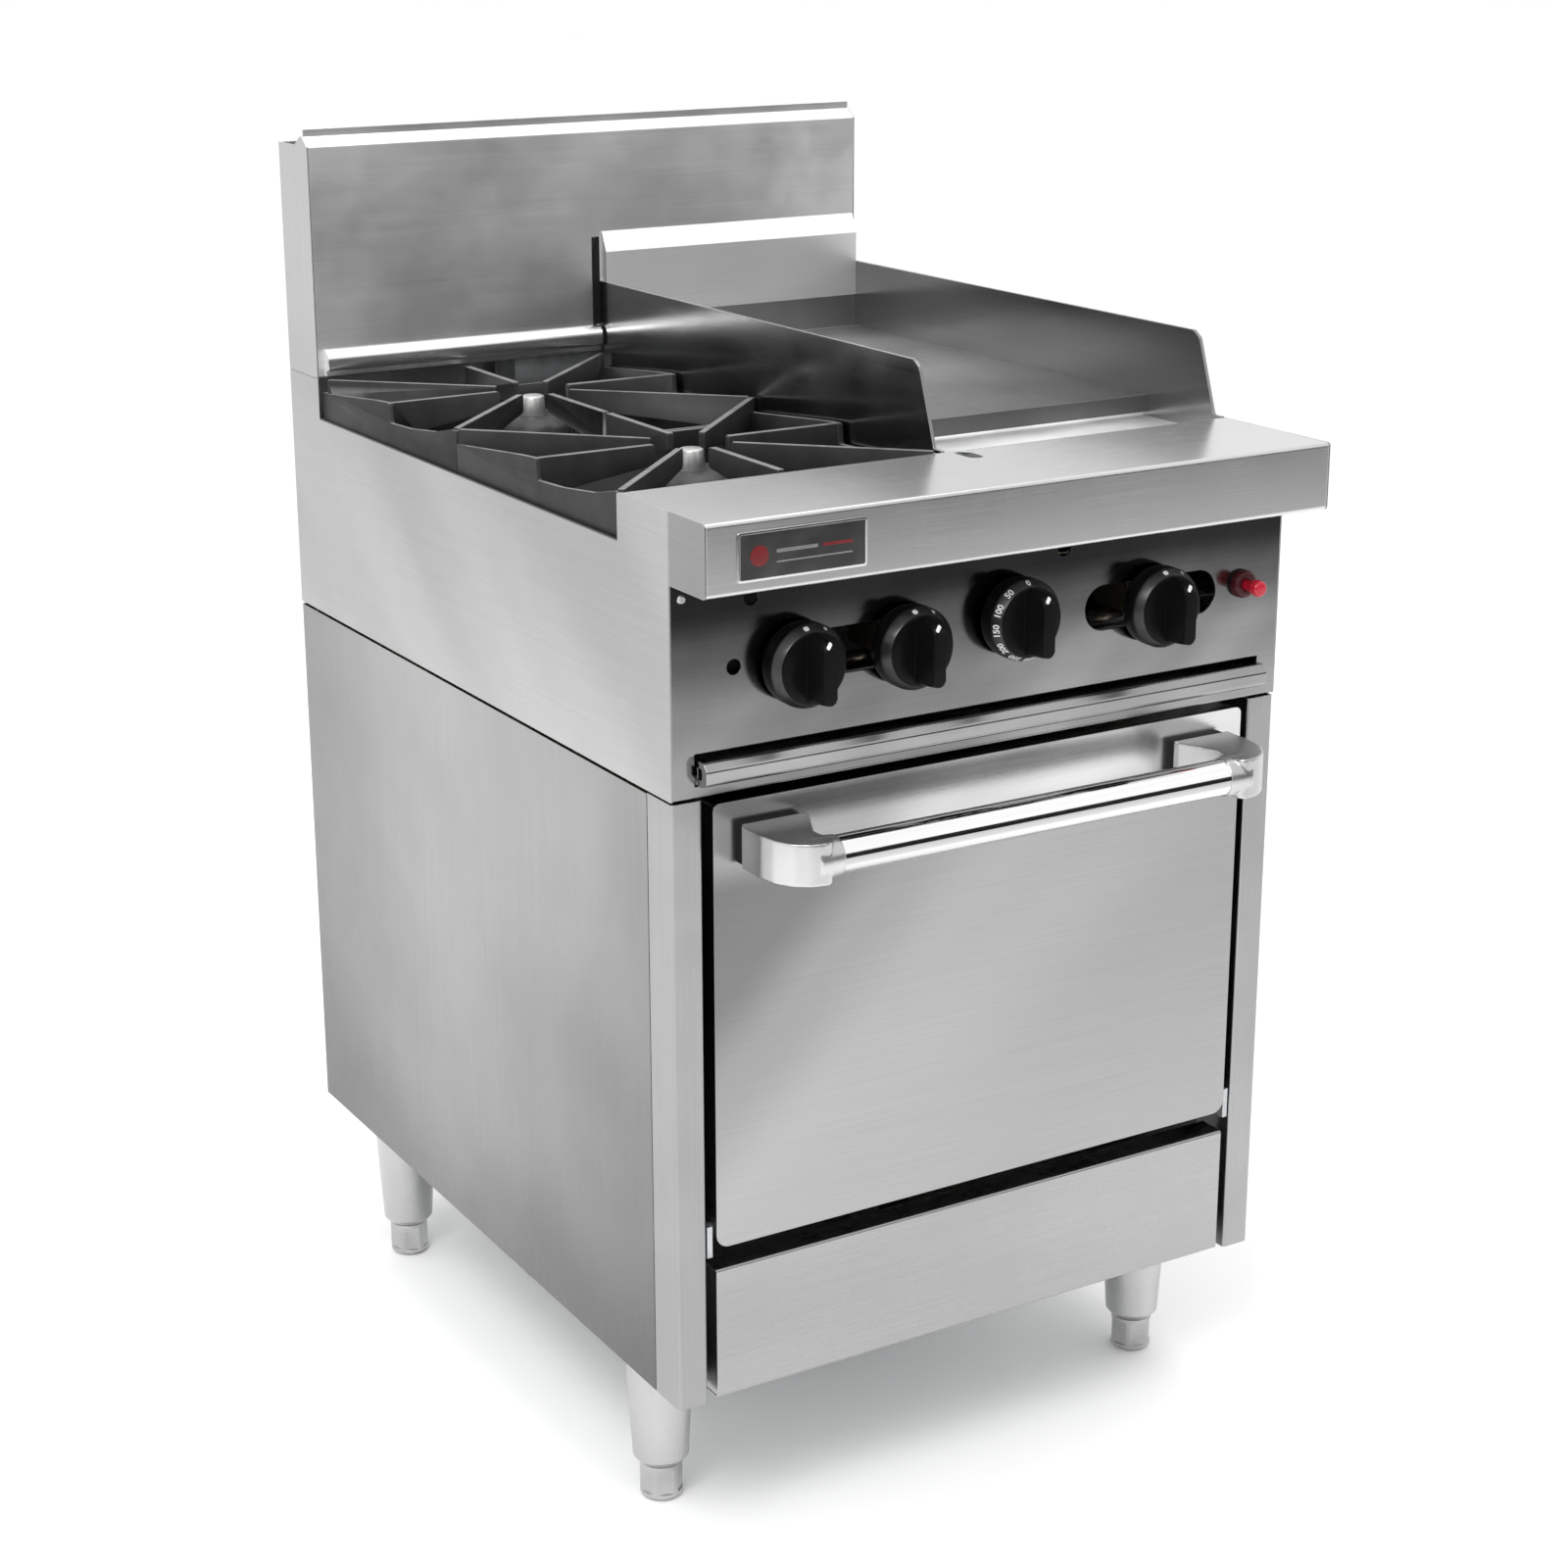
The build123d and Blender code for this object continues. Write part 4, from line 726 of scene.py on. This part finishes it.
# roll at the foot of the splashback
bm = bmesh.new()
prof = [(-71.02, 948.0)] + [(-71.0 - 9.4 * math.sin(math.radians(a)), 938.6 + 9.4 * math.cos(math.radians(a))) for a in range(6, 91, 7)]
prof += [(-80.4, 931.6), (-80.0, 929.8), (-78.8, 928.5), (-77.2, 927.9), (-74.0, 927.8), (-74.0, 922.6), (-71.02, 922.6)]
prism(bm, [(p[0], p[1]) for p in prof], -296.8, 0.0, "x")
st = new_obj("splash_foot_roll", bm, m_strip, 35)
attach(st, "cabinet")
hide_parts("splash_base_strip")

# black strip between the splashback and the griddle's back guard: painted shadow in the gap
bm = bmesh.new()
prism(bm, [(-5.8, 949.5), (2.3, 949.5), (2.3, 1036.0), (-1.2, 1036.6), (-3.4, 1034.0), (-5.0, 1020.0)], -70.9, -71.7, "y")
bevel_all(bm, 0.25, 2)
sl = new_obj("splash_gap_shadow_strip", bm, m_black_spacer_and_shade, 40)
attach(sl, "cabinet")

# collar of the igniter: stepped and rounded
bm = bmesh.new()
lathe(bm, [(5.12, -774.8), (5.12, -768.05), (12.2, -768.05), (12.4, -769.0), (12.3, -772.2), (11.4, -774.6), (9.8, -775.8), (6.4, -776.0),
           (5.4, -775.6), (5.12, -774.8)], (262.5, 0, 791), "y", 64)
co = new_obj("igniter_collar", bm, m_darkred, 35)
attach(co, "cabinet")
bm = bmesh.new()
lathe(bm, [(0, -769.2), (4.9, -769.2), (4.9, -782.2), (5.4, -783.4), (6.9, -786.6), (7.2, -788.0), (7.2, -792.4), (6.8, -793.6), (5.8, -794.6),
           (4.2, -795.0), (0, -795.0)], (262.5, 0, 791), "y", 64)
bt = new_obj("igniter_push_head", bm, m_red, 35)
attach(bt, "igniter_button")
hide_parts("igniter_button")

# ================================================================ nameplate
NX0, NX1, NZ0, NZ1, NY = -277.0, -161.5, 871.8, 910.7, -825.0
bm = bmesh.new()
prism(bm, round_pts([(NX0 + 1.4, NZ0 + 1.4), (NX1 - 1.4, NZ0 + 1.4), (NX1 - 1.4, NZ1 - 1.4), (NX0 + 1.4, NZ1 - 1.4)], 1.4, 5), NY, NY - 1.0, "y")
pl = new_obj("nameplate_field", bm, m_badge, 40)
bm = bmesh.new()
outer = round_pts([(NX0, NZ0), (NX1, NZ0), (NX1, NZ1), (NX0, NZ1)], 2.2, 6)
inner = round_pts([(NX0 + 1.9, NZ0 + 1.9), (NX1 - 1.9, NZ0 + 1.9), (NX1 - 1.9, NZ1 - 1.9), (NX0 + 1.9, NZ1 - 1.9)], 1.2, 6)
rings = [[bm.verts.new(M(p[0], y, p[1])) for p in o] for o, y in ((outer, NY), (outer, NY - 1.3), (inner, NY - 1.5), (inner, NY - 0.02))]
n_ = len(outer)
for a, b in zip(rings, rings[1:] + rings[:1]):
    for i in range(n_):
        j = (i + 1) % n_
        bm.faces.new((a[i], a[j], b[j], b[i]))
rim = new_obj("nameplate_rim", bm, m_badge_rim, 40)
parts_badge = [pl, rim]
# generic ornament: a plain red disc and three bars of different length
bm = bmesh.new()
lathe(bm, [(0, NY - 1.02), (8.2, NY - 1.02), (8.2, NY - 1.3), (7.8, NY - 1.42), (0, NY - 1.42)], (-258.0, 0, 891.2), "y", 48)
parts_badge.append(new_obj("nameplate_disc", bm, m_badge_red, 40))
for i, (x0, x1, zc, h) in enumerate(((-243, -206, 893.4, 2.6), (-202, -175, 893.4, 2.6), (-243, -175, 885.0, 1.1))):
    bm = bmesh.new()
    prism(bm, round_pts([(x0, zc - h / 2), (x1, zc - h / 2), (x1, zc + h / 2), (x0, zc + h / 2)], h * 0.4, 4), NY - 1.02, NY - 1.36, "y")
    parts_badge.append(new_obj(f"nameplate_bar_{i + 1}", bm, m_badge_red if i == 1 else m_badge_bar, 40))
for o in parts_badge:
    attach(o, "cabinet")
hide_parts("nameplate")
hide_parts("nameplate")

# ============================================================ floor, lights
bm = bmesh.new()
S = 45.0
vs = [bm.verts.new(p) for p in ((-S, -S, 0), (S, -S, 0), (S, S, 0), (-S, S, 0))]
bm.faces.new(vs)
fl_net = Net("m_floor")
fl_n = fl_net.noise(fl_net.coords(scale=(0.8, 0.8, 0.8)), 1.0, 3.0)
fl_net.put(fl_net.bsdf.inputs["Base Color"], fl_net.scale_color((0.95, 0.95, 0.95), fl_net.remap(fl_n, 0.3, 0.7, 0.99, 1.01)))
fl_net.bsdf.inputs["Roughness"].default_value = 0.85
fl_net.bsdf.inputs["Specular IOR Level"].default_value = 0.1
floor = new_obj("floor", bm, fl_net.mat, 180)
for p in floor.data.polygons:
    if p.normal.z < 0:
        floor.data.flip_normals()
        break

scene = bpy.context.scene
w = bpy.data.worlds.new("studio")
scene.world = w
w.use_nodes = True
wt = w.node_tree
wt.nodes.clear()
wo = wt.nodes.new("ShaderNodeOutputWorld")
bg = wt.nodes.new("ShaderNodeBackground")
bg.inputs[0].default_value = (1.0, 1.0, 1.0, 1)
bg.inputs[1].default_value = 1.06
wt.links.new(bg.outputs[0], wo.inputs[0])


def area(name, loc, target, size, power, size_y=None):
    li = bpy.data.lights.new(name, "AREA")
    li.shape = "RECTANGLE"
    li.size = size
    li.size_y = size_y or size
    li.energy = power
    ob = bpy.data.objects.new(name, li)
    scene.collection.objects.link(ob)
    ob.location = loc
    ob.rotation_euler = (Vector(target) - Vector(loc)).to_track_quat("-Z", "Y").to_euler()
    return ob


# the unlit end of the studio, seen only as a reflection in bright metal
dk = Net("m_dark_end")
dk_n = dk.noise(dk.coords(scale=(0.4, 0.4, 0.4)), 1.0, 2.0)
dk.put(dk.bsdf.inputs["Base Color"], dk.scale_color((0.02, 0.02, 0.02), dk.remap(dk_n, 0.3, 0.7, 0.8, 1.2)))
dk.bsdf.inputs["Roughness"].default_value = 0.9
dk.bsdf.inputs["Specular IOR Level"].default_value = 0.05
bm = bmesh.new()
path = [(-3.25, 0.05), (-3.3, 0.5), (-3.3, 0.95), (-3.25, 1.42)]
row = [[bm.verts.new((x_, y_, z_)) for y_, z_ in path] for x_ in (-6.0, 9.0)]
for i in range(len(path) - 1):
    bm.faces.new((row[0][i], row[1][i], row[1][i + 1], row[0][i + 1]))
dark = new_obj("dark_end", bm, dk.mat, 180)
dark.visible_camera = False
dark.visible_diffuse = False
dark.visible_shadow = False
dark.visible_transmission = False
dark.visible_volume_scatter = False

area("key", (-2.2, -1.9, 3.3), (0, 0, 0.7), 1.6, 80, 1.6)
area("top", (0.3, 0.2, 3.4), (0, 0, 0.7), 2.0, 35, 2.0)

# =================================================================== camera
cam_d = bpy.data.cameras.new("camera")
cam = bpy.data.objects.new("camera", cam_d)
scene.collection.objects.link(cam)
a_, e_, r_ = (math.radians(v) for v in (-30.1883427, 16.6948444, -0.34359548))
zc = Vector((math.sin(a_) * math.cos(e_), -math.cos(a_) * math.cos(e_), math.sin(e_)))
xc = Vector((0, 0, 1)).cross(zc).normalized()
yc = zc.cross(xc)
c_, s_ = math.cos(r_), math.sin(r_)
xr, yr = c_ * xc + s_ * yc, -s_ * xc + c_ * yc
m4 = Matrix((xr, yr, zc)).transposed().to_4x4()
m4.translation = Vector((-1.32956, -2.22653, 1.38677))
cam.matrix_world = m4
cam_d.sensor_fit = "HORIZONTAL"
cam_d.sensor_width = 36.0
cam_d.lens = 2920.33781 * 36.0 / 1600.0
cam_d.shift_x = (800.0 - 757.036) / 1600.0
cam_d.shift_y = (743.966 - 800.0) / 1600.0
cam_d.clip_end = 200.0
cam_d.dof.use_dof = False
scene.camera = cam
scene.view_settings.view_transform = "Standard"
